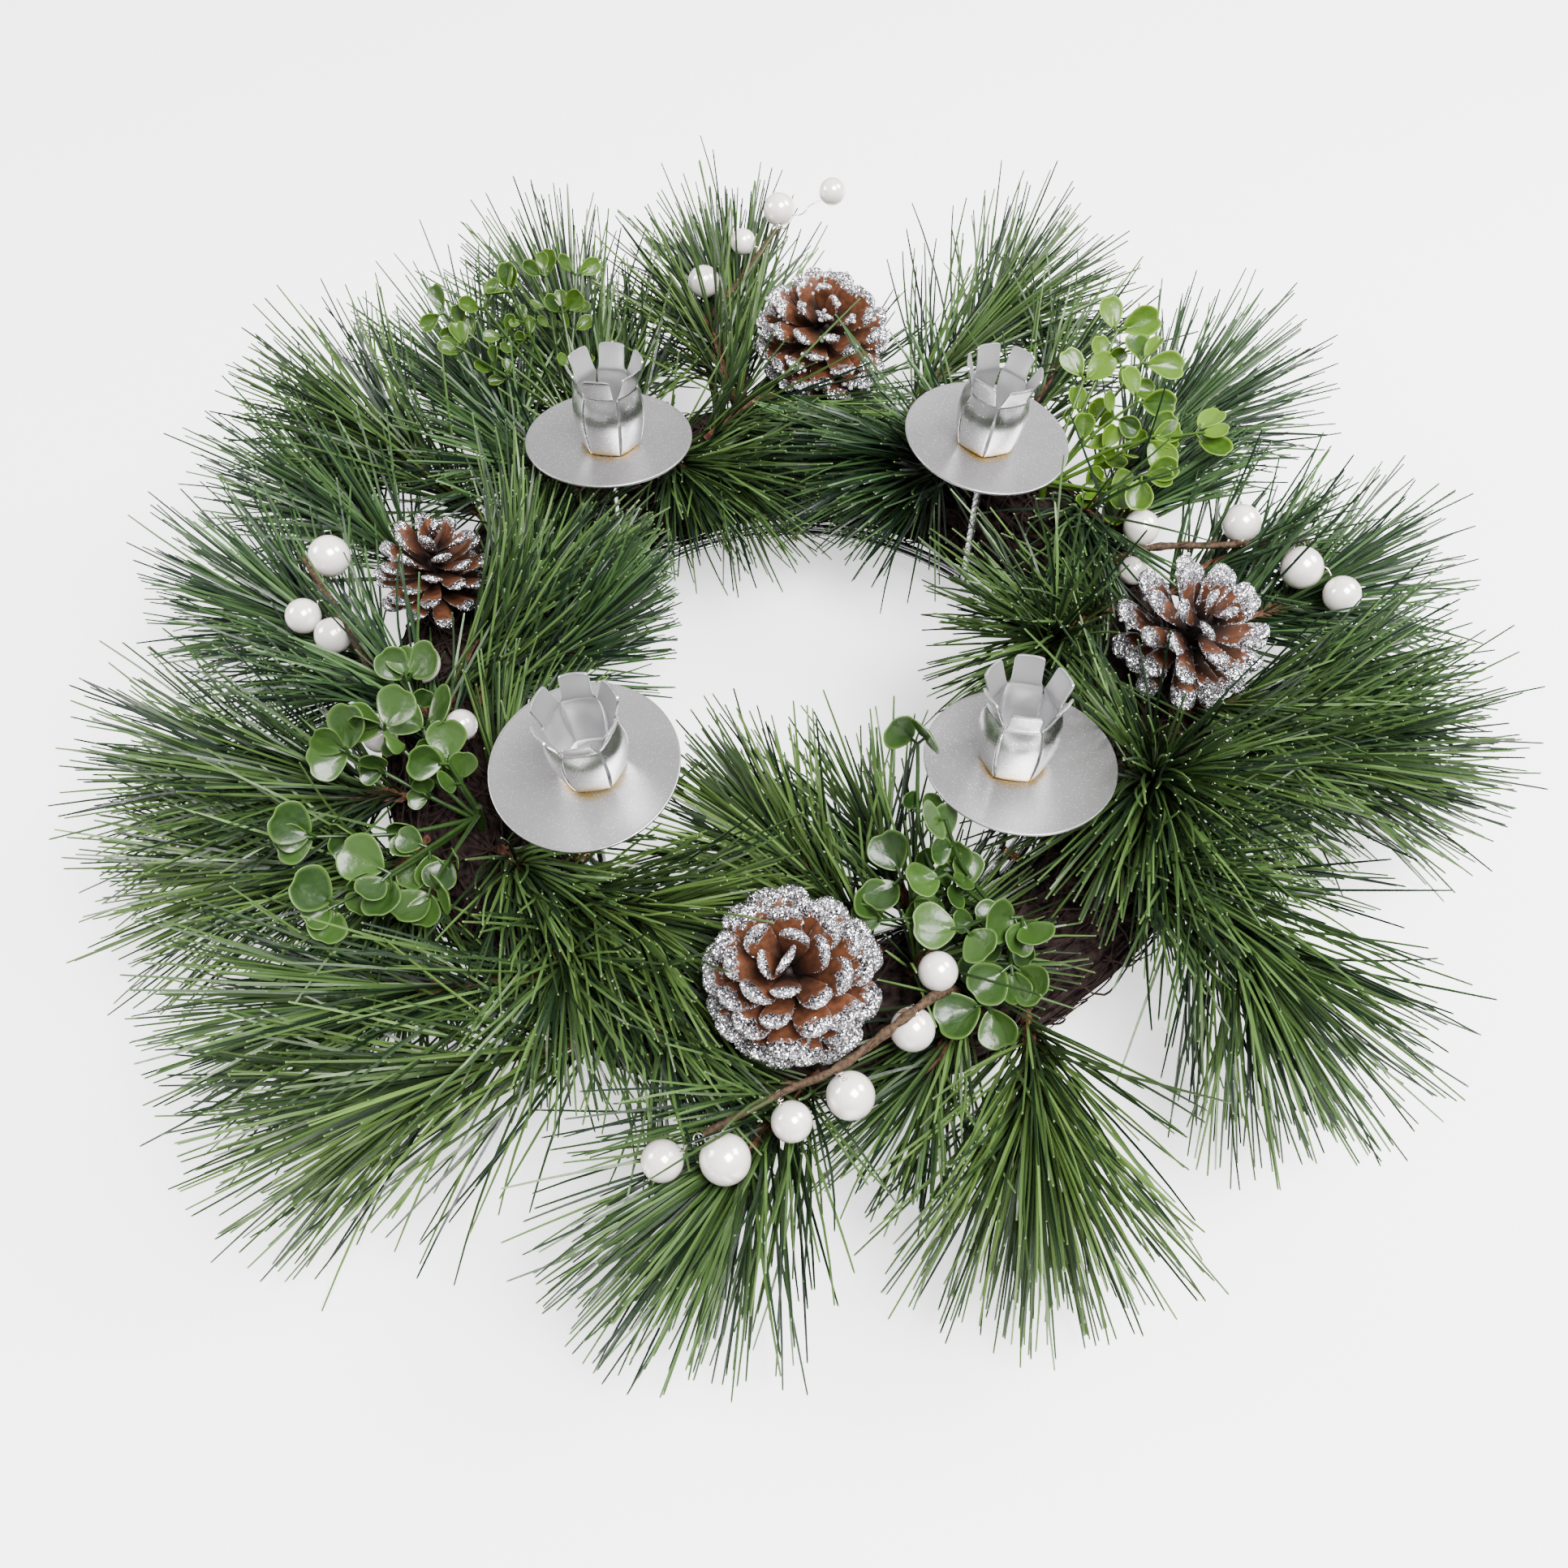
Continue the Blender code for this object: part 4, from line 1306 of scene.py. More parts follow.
@dataclass
class CandleHolder:
    """A rod, a drip plate and a cup of six petals folded up from a flat floor."""

    name: str
    foot: tuple[float, float]
    top: tuple[float, float]
    normal: Point
    cup_shift: tuple[float, float]
    cup_turn: float
    twisted: bool = False
    rod_radius: float = 1.45
    plate_radius: float = 30.0
    plate_thickness: float = 0.9
    # How far each step of the plate goes inward, and how far down.
    dishing: tuple[tuple[float, float], ...] = (
        (1.2, 0.16),
        (3.3, 0.34),
        (5.0, 0.35),
        (5.0, 0.18),
        (4.5, 0.05),
    )
    floor_radius: float = 10.6
    dome_radius: float = 8.0
    petal_thickness: float = 0.7
    # Height over the plate's underside, distance from the axis, petal width, bulge.
    stations: tuple[tuple[float, float, float, float], ...] = (
        (1.05, 9.2, 9.9, 0.0),
        (2.0, 10.0, 10.2, 0.1),
        (6.5, 10.9, 10.7, 0.45),
        (11.0, 11.5, 11.5, 0.8),
        (15.5, 11.7, 11.8, 1.0),
        (19.5, 11.4, 11.7, 0.85),
        (22.3, 10.8, 11.3, 0.5),
        (23.9, 10.35, 10.9, 0.15),
        (24.5, 10.3, 10.3, 0.1),
        (25.0, 10.4, 9.5, 0.1),
        (26.2, 10.8, 9.2, 0.15),
        (28.8, 11.8, 9.2, 0.2),
        (31.7, 12.9, 9.3, 0.15),
        (32.8, 13.25, 8.9, 0.1),
        (33.2, 13.35, 7.2, 0.05),
    )

    def place(self) -> Matrix:
        """The holder's frame, with its origin under the plate and millimetres made metres.

        Returns:
            The frame.
        """
        normal = Vector(self.normal).normalized()
        turn = normal.to_track_quat("Z", "Y").to_matrix().to_4x4()
        return Matrix.Translation(at(*self.top, PLATE_HEIGHT)) @ turn @ Matrix.Scale(MM, 4)

    def cup_place(self) -> Matrix:
        """The cup's frame: on the plate's plane, with +X towards one of the cup's corners.

        Returns:
            The frame, with millimetres made metres.
        """
        z = Vector(self.normal).normalized()
        shift = Vector((*self.cup_shift, 0))
        turn = math.radians(self.cup_turn)
        x = Vector((math.cos(turn), math.sin(turn), 0))
        middle = at(*self.top, PLATE_HEIGHT) + (shift - z * shift.dot(z)) * MM
        return Matrix.Translation(middle) @ axes_of(z, x) @ Matrix.Scale(MM, 4)

    def rod(self, steel: Material) -> None:
        """The rod, plain or twisted from a ribbed bar.

        Args:
            steel: its material.
        """
        foot, top = at(*self.foot, WIRE_HEIGHT + 0.8), at(*self.top, 87.6)
        length = (top - foot).length / MM
        bar = start(
            f"candle_rod_{self.name}",
            CIRCLE,
            vertices=16,
            radius=self.rod_radius,
            fill_type="NOTHING",
        )
        if self.twisted:
            with editing(bar):
                pick_verts(bar, lambda co: abs(math.sin(2 * math.atan2(co.y, co.x))) > 0.9)
                bpy.ops.transform.resize(value=(0.74, 0.74, 1), center_override=(0, 0, 0))
        twists, steps = (5, 90) if self.twisted else (1, 24)
        apply(
            bar,
            "SCREW",
            angle=math.tau * twists,
            screw_offset=length,
            steps=steps,
            render_steps=steps,
            iterations=1,
            use_merge_vertices=False,
        )
        with editing(bar, "EDGE", "SELECT"):
            bpy.ops.mesh.remove_doubles(threshold=1e-5)
            bpy.ops.mesh.select_all(action="DESELECT")
            bpy.ops.mesh.select_non_manifold()
            bpy.ops.mesh.edge_face_add()
            bpy.ops.mesh.select_all(action="SELECT")
            bpy.ops.mesh.normals_make_consistent(inside=False)
        turn = (top - foot).to_track_quat("Z", "Y").to_matrix().to_4x4()
        bar.data.transform(Matrix.Translation(foot) @ turn @ Matrix.Scale(MM, 4))
        shade(bar, 50)
        finish_piece(bar, steel, "rod_steel", f"rod_{self.name}")

    def plate(self) -> None:
        """The drip plate: a thin disc, a little dished, with a rounded rim."""
        disc = start(
            f"drip_plate_{self.name}",
            CIRCLE,
            vertices=96,
            radius=self.plate_radius,
            fill_type="NGON",
            location=(0, 0, 2.1),
        )
        with editing(disc, "FACE", "SELECT"):
            for inward, drop in self.dishing:
                bpy.ops.mesh.inset(thickness=inward, depth=0)
                bpy.ops.transform.translate(value=(0, 0, -drop))
            bpy.ops.mesh.inset(thickness=7.0, depth=0)
        apply(disc, "SOLIDIFY", thickness=self.plate_thickness, offset=-1.0)
        apply(disc, "BEVEL", width=0.28, segments=3, limit_method="ANGLE", angle_limit=0.7)
        disc.data.transform(self.place())
        shade(disc, 50)
        middle = self.cup_place() @ Vector((0, 0, 1.2)) + Vector((0, -0.002, 0))
        finish = MetalFinish(
            f"plate_{self.name}",
            (0.47, 0.455, 0.463),
            0.36,
            0.95,
            0.035,
            (tuple(middle), 0.0092, 0.0114),
        )
        finish_piece(disc, finish.build(), "plate_silver", f"plate_{self.name}")

    def petal(self) -> Piece:
        """One petal, drawn along +X: a curved strip that bulges, narrows at its neck and flares.

        Returns:
            The petal's mesh.
        """
        height, out, width, _ = self.stations[0]
        strip = start(
            "petal", bpy.ops.mesh.primitive_grid_add, x_subdivisions=1, y_subdivisions=6, size=1.0
        )
        with editing(strip):
            bm = bmesh.from_edit_mesh(strip.data)
            for vert in bm.verts:
                vert.co = (vert.co.x, vert.co.y * width, 0.0)
            bmesh.update_edit_mesh(strip.data)
            pick_verts(strip, lambda co: co.x > 0)
            bpy.ops.transform.translate(value=(out - 0.5, 0, height))
            pick_verts(strip, lambda co: co.x < 0)
            bpy.ops.transform.translate(value=(out - 0.8, 0, height))
            pick_verts(strip, lambda co: co.x > out - 0.5)
            for (z0, r0, w0, _), (z1, r1, w1, _) in zip(self.stations, self.stations[1:]):
                extrude((r1 - r0, 0, z1 - z0), (1, w1 / w0, 1), (r1, 0, z1))
        heights = [s[0] for s in self.stations]
        for vert in strip.data.vertices:
            x, y, z = vert.co
            _, _, w, bulge = self.stations[int(np.argmin([abs(z - h) for h in heights]))]
            vert.co.x = x + bulge * (1 - (2 * y / w) ** 2) - 0.35 * abs(2 * y / w) ** 3
        return strip

    def cup(self) -> None:
        """The cup: six petals round a floor with a low dome."""
        floor = start(
            "cup_floor",
            CIRCLE,
            vertices=6,
            radius=self.floor_radius,
            fill_type="NGON",
            location=(0, 0, 1.05),
            rotation=(0, 0, math.radians(30)),
        )
        with editing(floor, "FACE", "SELECT"):
            bpy.ops.mesh.inset(thickness=0.9, depth=0)
            bpy.ops.mesh.inset(thickness=0.8, depth=0)
            bpy.ops.transform.translate(value=(0, 0, 0.35))
        pod = start(
            "cup_dome",
            SPHERE,
            segments=32,
            ring_count=16,
            radius=self.dome_radius,
            location=(0, 0, 1.6),
        )
        with editing(pod, picked="SELECT"):
            bpy.ops.transform.resize(value=(1, 1, 0.2), center_override=(0, 0, 1.6))
        shade(pod)
        master = self.petal()
        petals = []
        for k in range(6):
            petal = master.copy()
            petal.data = master.data.copy()
            bpy.context.scene.collection.objects.link(petal)
            petal.data.transform(Matrix.Rotation(math.radians(30 + 60 * k), 4, "Z"))
            petals.append(petal)
        discard(master)
        cup = join(f"petal_cup_{self.name}", [floor, *petals])
        with editing(cup, picked="SELECT"):
            bpy.ops.mesh.remove_doubles(threshold=0.02)
        apply(cup, "SUBSURF", levels=1, render_levels=1)
        apply(cup, "SOLIDIFY", thickness=self.petal_thickness, offset=1.0)
        apply(cup, "BEVEL", width=0.22, segments=3, limit_method="ANGLE", angle_limit=1.0)
        # The faces that look into the cup, and the dome in part, are marked for the painted shade inside
        # it.
        verts = [(v.co, v.normal) for v in cup.data.vertices]
        faces_in = [co.z > 1.3 and n.dot((co.x, co.y, 0)) < 0 for co, n in verts]
        set_values(cup, "inner", [float(inside) for inside in faces_in])
        set_values(pod, "inner", 0.6)
        cup = join(f"petal_cup_{self.name}", [cup, pod])
        cup.data.transform(self.cup_place())
        shade(cup, 45)
        finish = MetalFinish(f"cup_{self.name}", (0.52, 0.515, 0.52), 0.28, 1.0, 0.02, painted_shade_inside=True)
        finish_piece(cup, finish.build(), "cup_silver", f"cup_{self.name}")

    def build(self, steel: Material) -> None:
        """Make the holder.

        Args:
            steel: the rods' material.
        """
        self.rod(steel)
        self.plate()
        self.cup()


@dataclass
class PineCone:
    """A cone of thick scales set round a spindle, crusted with glitter."""

    name: str
    middle: Point
    axis: Point
    width: float
    height: float
    scales: int
    broad: float
    bare: float
    grains: int
    beads: int = 0
    seed: int = 1
    # Place along the scale, half width, half thickness and rise, before a placing sizes them.
    stations: tuple[tuple[float, float, float, float], ...] = (
        (0.0, 0.11, 0.035, 0.0),
        (0.2, 0.17, 0.036, 0.0),
        (0.42, 0.235, 0.04, 0.005),
        (0.62, 0.285, 0.06, 0.02),
        (0.77, 0.30, 0.105, 0.05),
        (0.89, 0.28, 0.125, 0.075),
        (0.97, 0.2, 0.1, 0.09),
        (1.0, 0.11, 0.05, 0.095),
    )

    def scale(self) -> Piece:
        """One scale of length 1, drawn along +X from its root to its thick round tip.

        Returns:
            The scale's mesh.
        """
        _, half, thick, _ = self.stations[0]
        piece = start(
            "cone_scale",
            CIRCLE,
            vertices=10,
            radius=1.0,
            fill_type="NGON",
            rotation=(0, math.pi / 2, 0),
        )
        with editing(piece, "FACE", "SELECT"):
            bpy.ops.transform.resize(value=(1, half, thick), center_override=(0, 0, 0))
            for (x0, w0, t0, z0), (x1, w1, t1, z1) in zip(self.stations, self.stations[1:]):
                extrude((x1 - x0, 0, z1 - z0), (1, w1 / w0, t1 / t0), (x1, 0, z1))
            bpy.ops.mesh.select_all(action="SELECT")
            bpy.ops.mesh.normals_make_consistent(inside=False)
        for vert in piece.data.vertices:
            # The scale is hollowed a little on top, as a spoon is.
            vert.co.z += 0.55 * vert.co.y**2 * vert.co.x
        settle(piece)
        apply(piece, "SUBSURF", levels=1, render_levels=1)
        along = [v.co.x for v in piece.data.vertices]
        places, halves = zip(*((s[0], s[1]) for s in self.stations))
        crust = []
        for vert in piece.data.vertices:
            x, y, _ = vert.co
            edge = abs(y) / float(np.interp(x, places, halves))
            rim = self.ease(0.75, 1.0, edge) * self.ease(0.3, 0.6, x)
            under = self.ease(0.3, 0.6, x) if vert.normal.z < -0.25 else 0.0
            crust.append(max(rim, under, self.ease(0.66, 0.98, x)))
        set_values(piece, "along", along)
        set_values(piece, "crust", crust)
        return piece

    @staticmethod
    def ease(low: float, high: float, value: float) -> float:
        """Where a value is between two others, from 0 to 1."""
        return max(0.0, min(1.0, (value - low) / (high - low)))

    def spindle(self) -> Piece:
        """The middle that the scales grow from, dark with the cones' painted shade.

        Returns:
            Its mesh.
        """
        body = start("spindle", SPHERE, segments=14, ring_count=9, radius=1.0)
        half = self.width / 2
        with editing(body, picked="SELECT"):
            size = (half * 0.16, half * 0.16, self.height * 0.2)
            bpy.ops.transform.resize(value=size, center_override=(0, 0, 0))
        # An along of 0 gives the spindle the darkest of the cones' painted shade.
        for key in ("along", "crust", "tint"):
            set_values(body, key, 0.0)
        return body

    def placings(self, rng: random.Random) -> list[Placing]:
        """Where the scales go, in millimetres about the cone's middle.

        Args:
            rng: the draw.

        Returns:
            A placing for each scale.
        """
        half = self.width / 2
        found = []
        for i in range(self.scales):
            t = i / (self.scales - 1)
            # The tips are spread evenly over a dome, from under its rim up to its crown.
            polar = math.acos(-0.55 + 1.54 * t)
            rise = math.radians(66 + rng.uniform(-6, 6)) - 0.68 * polar
            out = half * math.sin(polar) * rng.uniform(0.95, 1.03)
            length = max(0.26 * half, out - 0.05 * half) / math.cos(rise)
            wide = self.broad * self.width / 0.6 * (1 - 0.25 * t * t) * rng.uniform(0.88, 1.12)
            thick = 0.3 * self.width * (1 - 0.15 * t) * rng.uniform(0.85, 1.2)
            turn = Matrix.Rotation(i * GOLDEN_ANGLE + rng.uniform(-0.12, 0.12), 4, "Z")
            up = self.height / 2 * math.cos(polar) - length * math.sin(rise)
            seat = Matrix.Translation((out - length * math.cos(rise), 0, up))
            tip = Matrix.Rotation(-rise, 4, "Y")
            roll = Matrix.Rotation(rng.uniform(-0.25, 0.25), 4, "X")
            size = Matrix.Diagonal((length, wide, thick, 1))
            found.append((0, turn @ seat @ tip @ roll @ size, rng.random()))
        return found

    def sprinkle(self, cone: Piece, count: int, rng: random.Random) -> list[tuple[Vector, Vector]]:
        """Places on the crusted parts of the cone.

        Args:
            cone: the joined scales.
            count: how many places.
            rng: the draw.

        Returns:
            A place and a normal for each.
        """
        mesh = cone.data
        mesh.calc_loop_triangles()
        crust = np.empty(len(mesh.vertices), np.float32)
        mesh.attributes["crust"].data.foreach_get("value", crust)
        triangles = list(mesh.loop_triangles)
        weights = []
        for tri in triangles:
            mark = sum(crust[v] for v in tri.vertices) / 3
            weights.append(tri.area * max(0.0, mark - self.bare))
        found = []
        for tri in rng.choices(triangles, weights, k=count):
            a, b = rng.random(), rng.random()
            if a + b > 1:
                a, b = 1 - a, 1 - b
            p, q, r = (mesh.vertices[v].co for v in tri.vertices)
            found.append((p + (q - p) * a + (r - p) * b, tri.normal.copy()))
        return found

    def grain_pieces(self, cone: Piece, rng: random.Random) -> Piece:
        """The glitter's grains on the crusted parts of the scales.

        Args:
            cone: the joined scales.
            rng: the draw.

        Returns:
            One object that holds them all.
        """
        places = self.sprinkle(cone, self.grains, rng)
        grain = start("grain", bpy.ops.mesh.primitive_ico_sphere_add, subdivisions=1, radius=0.5)
        with editing(grain):
            pick_verts(grain, lambda co: co.z > 0.1)
            bpy.ops.transform.resize(value=(0.8, 0.8, 0.7), center_override=(0, 0, 0))
        placings = []
        for place, normal in places:
            size = MM * rng.uniform(0.28, 0.6)
            matrix = Matrix.Translation(place) @ axes_of(jitter(rng), normal)
            placings.append((0, matrix @ Matrix.Scale(size, 4), rng.random()))
        crumbs = copy_out(f"glitter_{self.name}", [grain], placings)
        discard(grain)
        return crumbs

    def drop_pieces(self, cone: Piece, rng: random.Random) -> Piece:
        """The clear drops on the scales' tips.

        Args:
            cone: the joined scales.
            rng: the draw.

        Returns:
            One object that holds them all.
        """
        drop = start("drop", SPHERE, segments=10, ring_count=6, radius=0.8)
        with editing(drop):
            pick_verts(drop, lambda co: co.z < -0.3)
            bpy.ops.transform.resize(value=(1, 1, 0.7), center_override=(0, 0, 0))
        placings = []
        for place, normal in self.sprinkle(cone, self.beads, rng):
            size = MM * rng.uniform(0.7, 1.1)
            matrix = Matrix.Translation(place + normal * size * 0.5) @ axes_of(normal, UP)
            placings.append((0, matrix @ Matrix.Scale(size, 4), rng.random()))
        wet = copy_out(f"drops_{self.name}", [drop], placings)
        discard(drop)
        return wet

    def build(self, glitter: Material, drops: Material) -> None:
        """Make the cone, its grains and its drops.

        Args:
            glitter: the grains' material.
            drops: the drops' material.
        """
        rng = random.Random(self.seed)
        master = self.scale()
        scales = copy_out("scales", [master], self.placings(rng))
        cone = join(f"pine_cone_{self.name}", [scales, self.spindle()])
        discard(master)
        turn = Vector(self.axis).to_track_quat("Z", "Y").to_matrix().to_4x4()
        cone.data.transform(Matrix.Scale(MM, 4) @ turn)
        cone.data.transform(Matrix.Translation(at(*self.middle)))
        shade(cone, 60)
        crumbs = self.grain_pieces(cone, rng)
        wood = ConeFinish(f"cone_{self.name}", WOOD_DARK, WOOD_LIGHT, self.bare)
        finish_piece(cone, wood.build(), "cone_brown", f"cone_{self.name}")
        finish_piece(crumbs, glitter, "cone_brown")
        if self.beads:
            wet = self.drop_pieces(cone, rng)
            shade(wet)
            finish_piece(wet, drops, "cone_brown")


@dataclass
class PearlTwig:
    """A brown twig with pearls on thin wires."""

    name: str
    angle: float
    section: float
    twig: tuple[Point, ...]
    pearls: tuple[tuple[float, float, float, float], ...]
    seed: int = 1
    wire_radius: float = 0.27

    def pearl(self) -> Piece:
        """One pearl of radius 1, with the mouth of its bore at the top.

        Returns:
            The pearl's mesh.
        """
        ball = start("pearl", SPHERE, segments=30, ring_count=18, radius=1.0)
        with editing(ball, "FACE"):
            pick_faces(ball, lambda co, normal: co.z > 0.975)
            bpy.ops.mesh.inset(thickness=0.045, depth=0)
            bpy.ops.transform.translate(value=(0, 0, -0.16))
        return ball

    def bark(self, line: list[Vector], rng: random.Random) -> Piece:
        """The twig, knobbly and tapered, with a few buds.

        Args:
            line: its run, in metres.
            rng: the draw.

        Returns:
            The twig's mesh.
        """
        count = len(line)
        radii = []
        for i, point in enumerate(line):
            bump = noise.noise(point * 300) * 0.35 + noise.noise(point * 900) * 0.2
            radii.append((1.75 - 0.75 * i / count) * (1 + bump))
        paths = [(line, radii)]
        for _ in range(5):
            i = rng.randrange(4, count - 3)
            way = (line[i + 1] - line[i - 1]).normalized()
            side = square_to(jitter(rng), way)
            side.z = abs(side.z)
            base = line[i]
            bud = [base, base + (side * 1.6 + way * 1.5) * MM, base + (side * 2.4 + way * 4) * MM]
            paths.append((bud, [1.0, 0.7, 0.15]))
        return tubes(f"twig_{self.name}", paths, 2)

    def build(self, pearly: Material, bark: Material, wire: Material) -> None:
        """Make the twig, its pearls and their wires.

        Args:
            pearly: the pearls' material.
            bark: the twig's material.
            wire: the wires' material.
        """
        rng = random.Random(self.seed)
        seat = RootRing().skin(math.radians(self.angle), math.radians(self.section), 1.0)
        points = [seat, *(at(*p) for p in self.twig)]
        line = smooth_run(points, 44)
        twig = self.bark(line, rng)
        set_values(twig, "tint", 0.0)
        shade(twig)
        finish_piece(twig, bark, "root_brown")
        master = self.pearl()
        placings, paths = [], []
        for x, y, z, size in self.pearls:
            middle = at(x, y, z)
            joint = min(line[6:], key=lambda p: (p - middle).length)
            spin = joint - middle + jitter(rng, 0.002)
            turn = axes_of(spin, UP)
            radius = size / 2
            matrix = Matrix.Translation(middle) @ turn @ Matrix.Scale(radius * MM, 4)
            placings.append((0, matrix, rng.random()))
            paths.append(self.wire_run(joint, middle, radius * MM, spin.normalized()))
        pearls = copy_out(f"pearl_beads_{self.name}", [master], placings)
        discard(master)
        shade(pearls, 60)
        finish_piece(pearls, pearly, "pearl_ivory", f"pearls_{self.name}")
        wires = tubes(f"pearl_wires_{self.name}", paths, 1)
        shade(wires)
        finish_piece(wires, wire, "pearl_ivory")

    def wire_run(
        self, joint: Vector, middle: Vector, radius: float, spin: Vector
    ) -> tuple[list[Vector], list[float]]:
        """A wire that winds off the twig, curls and goes into the pearl's bore.

        Args:
            joint: where it leaves the twig.
            middle: the pearl's middle.
            radius: the pearl's, in metres.
            spin: the way that the pearl's bore points.

        Returns:
            The wire's points and radii.
        """
        mouth = middle + spin * radius * 0.9
        way = (mouth - joint).normalized()
        side = way.cross(UP)
        side = side.normalized() if side.length > 0.1 else way.orthogonal().normalized()
        points = []
        for k in range(27):
            t = k / 26
            coil = (2.3 * (1 - t) ** 3 + 0.5 * math.sin(math.pi * t)) * MM
            a = 16 * (1 - t)
            spread = (side * math.cos(a) + way.cross(side) * math.sin(a)) * coil
            points.append(joint.lerp(mouth, t) + spread)
        return points, [self.wire_radius] * len(points)


@dataclass
class LeafPick:
    """A bunch of green plastic stems with round notched leaves in pairs."""

    name: str
    angle: float
    section: float
    stems: tuple[tuple[Point, ...], ...]
    leaf: float
    seed: int = 1
    slim: float = 1.0
    lower: tuple[float, ...] = (0.72, 0.42)
    tone: LeafTone = LeafTone.GREEN
    stalk: float = 2.2

    def blade(self, cup: float) -> Piece:
        """One leaf of length 1 along +X, facing +Z: round, notched, creased and rimmed.

        Args:
            cup: how much its sides rise.

        Returns:
            The leaf's mesh.
        """
        leaf = start(
            "leaf_blade", CIRCLE, vertices=20, radius=0.5, fill_type="NGON", location=(0.5, 0, 0)
        )
        with editing(leaf, "FACE", "SELECT"):
            bpy.ops.mesh.inset(thickness=0.055, depth=0)
            bpy.ops.transform.translate(value=(0, 0, -0.03))
            bpy.ops.mesh.inset(thickness=0.17, depth=0)
            bpy.ops.transform.translate(value=(0, 0, -0.015))
            bpy.ops.mesh.select_all(action="SELECT")
            bpy.ops.mesh.bisect(plane_co=(0, 0, 0), plane_no=(0, 1, 0))
        rim = []
        for vert in leaf.data.vertices:
            x, y, z = vert.co
            edge = math.hypot(x - 0.5, y) / 0.5
            rim.append(max(0.0, (edge - 0.82) / 0.18))
            shape = 0.55 + 0.5 * min(1.0, x / 0.55) ** 0.8
            notch = 0.11 * max(0.0, 1 - abs(y) / 0.12) * max(0.0, x - 0.72) / 0.28
            crease = -0.075 * max(0.0, 1 - abs(y) / 0.11) * (1 - 0.3 * x)
            lift = cup * (2 * y) ** 2 + 0.10 * x * x
            vert.co = (x - notch, y * shape * self.slim, z + crease + lift)
        set_values(leaf, "rim", rim)
        apply(leaf, "SOLIDIFY", thickness=0.042, offset=0.0)
        apply(leaf, "SUBSURF", levels=1, render_levels=1)
        return leaf

    def pairs(self, lower: Sequence[float], rng: random.Random) -> list[tuple[float, float, float]]:
        """The leaves of one stem.

        Args:
            lower: where its pairs under the top one stand, as parts of its length.
            rng: the draw.

        Returns:
            For each leaf its place along the stem, its side and its size.
        """
        found = [(1.0, 1.0, 1.08), (1.0, -1.0, 0.98)]
        if rng.random() < 0.55:
            found.append((1.0, 0.15, 0.8))
        for back in lower:
            found += [(back, 1.0, rng.uniform(0.55, 0.85)), (back, -1.0, rng.uniform(0.5, 0.8))]
        return found

    def build(self, green: Material, slot: str, clear: Obstacles) -> None:
        """Make the stems and the leaves.

        Args:
            green: the material.
            slot: the record's slot.
            clear: what the leaves keep off.
        """
        rng = random.Random(self.seed)
        ring, angle, section = RootRing(), math.radians(self.angle), math.radians(self.section)
        seat = ring.skin(angle, section, 0.6)
        out = (seat - ring.skin(angle, section, 8)).normalized()
        paths = [([seat, seat + out * 12 * MM], [1.6, 1.2])]
        masters = [self.blade(cup) for cup in (0.05, 0.11, 0.17)]
        placings: list[Placing] = []
        for i, stem in enumerate(self.stems):
            base = seat + out * 12 * MM * (0.25 + 0.65 * i / len(self.stems))
            line = smooth_run([base, *(at(*p) for p in stem)], 12)
            paths.append((line, [0.95 - 0.03 * k for k in range(13)]))
            along = (line[-1] - line[-2]).normalized()
            face = (Vector((0, -0.45, 1)) + along.orthogonal() * 0.2).normalized()
            across = along.cross(face).normalized()
            twist = rng.choice((-1, 1)) * rng.uniform(0.5, 1.1)
            across = Matrix.Rotation(twist, 3, along) @ across
            flat = square_to(along, face)
            for place, side, size in self.pairs(self.lower if len(stem) > 1 else (0.6,), rng):
                root = line[min(12, round(place * 12))]
                way = flat * rng.uniform(0.45, 0.75) + across * side * 0.9
                if abs(side) < 0.5:
                    way = flat + face * 0.5
                tip_up = across * rng.uniform(-0.8, 0.8) - way * rng.uniform(-0.1, 0.8)
                lean = (face + tip_up + along * rng.uniform(-0.4, 0.4)).normalized()
                length = self.leaf * size * rng.uniform(0.92, 1.08) * MM
                way = way.normalized()
                body = root + way * self.stalk * MM
                ends = [body + way * length * f for f in (0.1, 0.5, 0.95)]
                if clear.blocks(ends, length * 0.3):
                    continue
                matrix = Matrix.Translation(body) @ axes_of(lean, way) @ Matrix.Scale(length, 4)
                placings.append((rng.randrange(3), matrix, rng.random()))
                paths.append(([root, body + way * length * 0.12], [0.6, 0.5]))
        stems = tubes(f"stems_{self.name}", paths, 1)
        set_values(stems, "tint", 0.3)
        set_values(stems, "rim", 0.0)
        leaves = copy_out("leaves", masters, placings)
        discard(*masters)
        bunch = join(f"leaf_bunch_{self.name}", [leaves, stems])
        shade(bunch)
        finish_piece(bunch, green, slot, f"leaves_{self.name}")


@dataclass
class Clearances:
    """What the needles keep off, and what they leave in the camera's sight."""

    solids: Obstacles
    shown: Obstacles


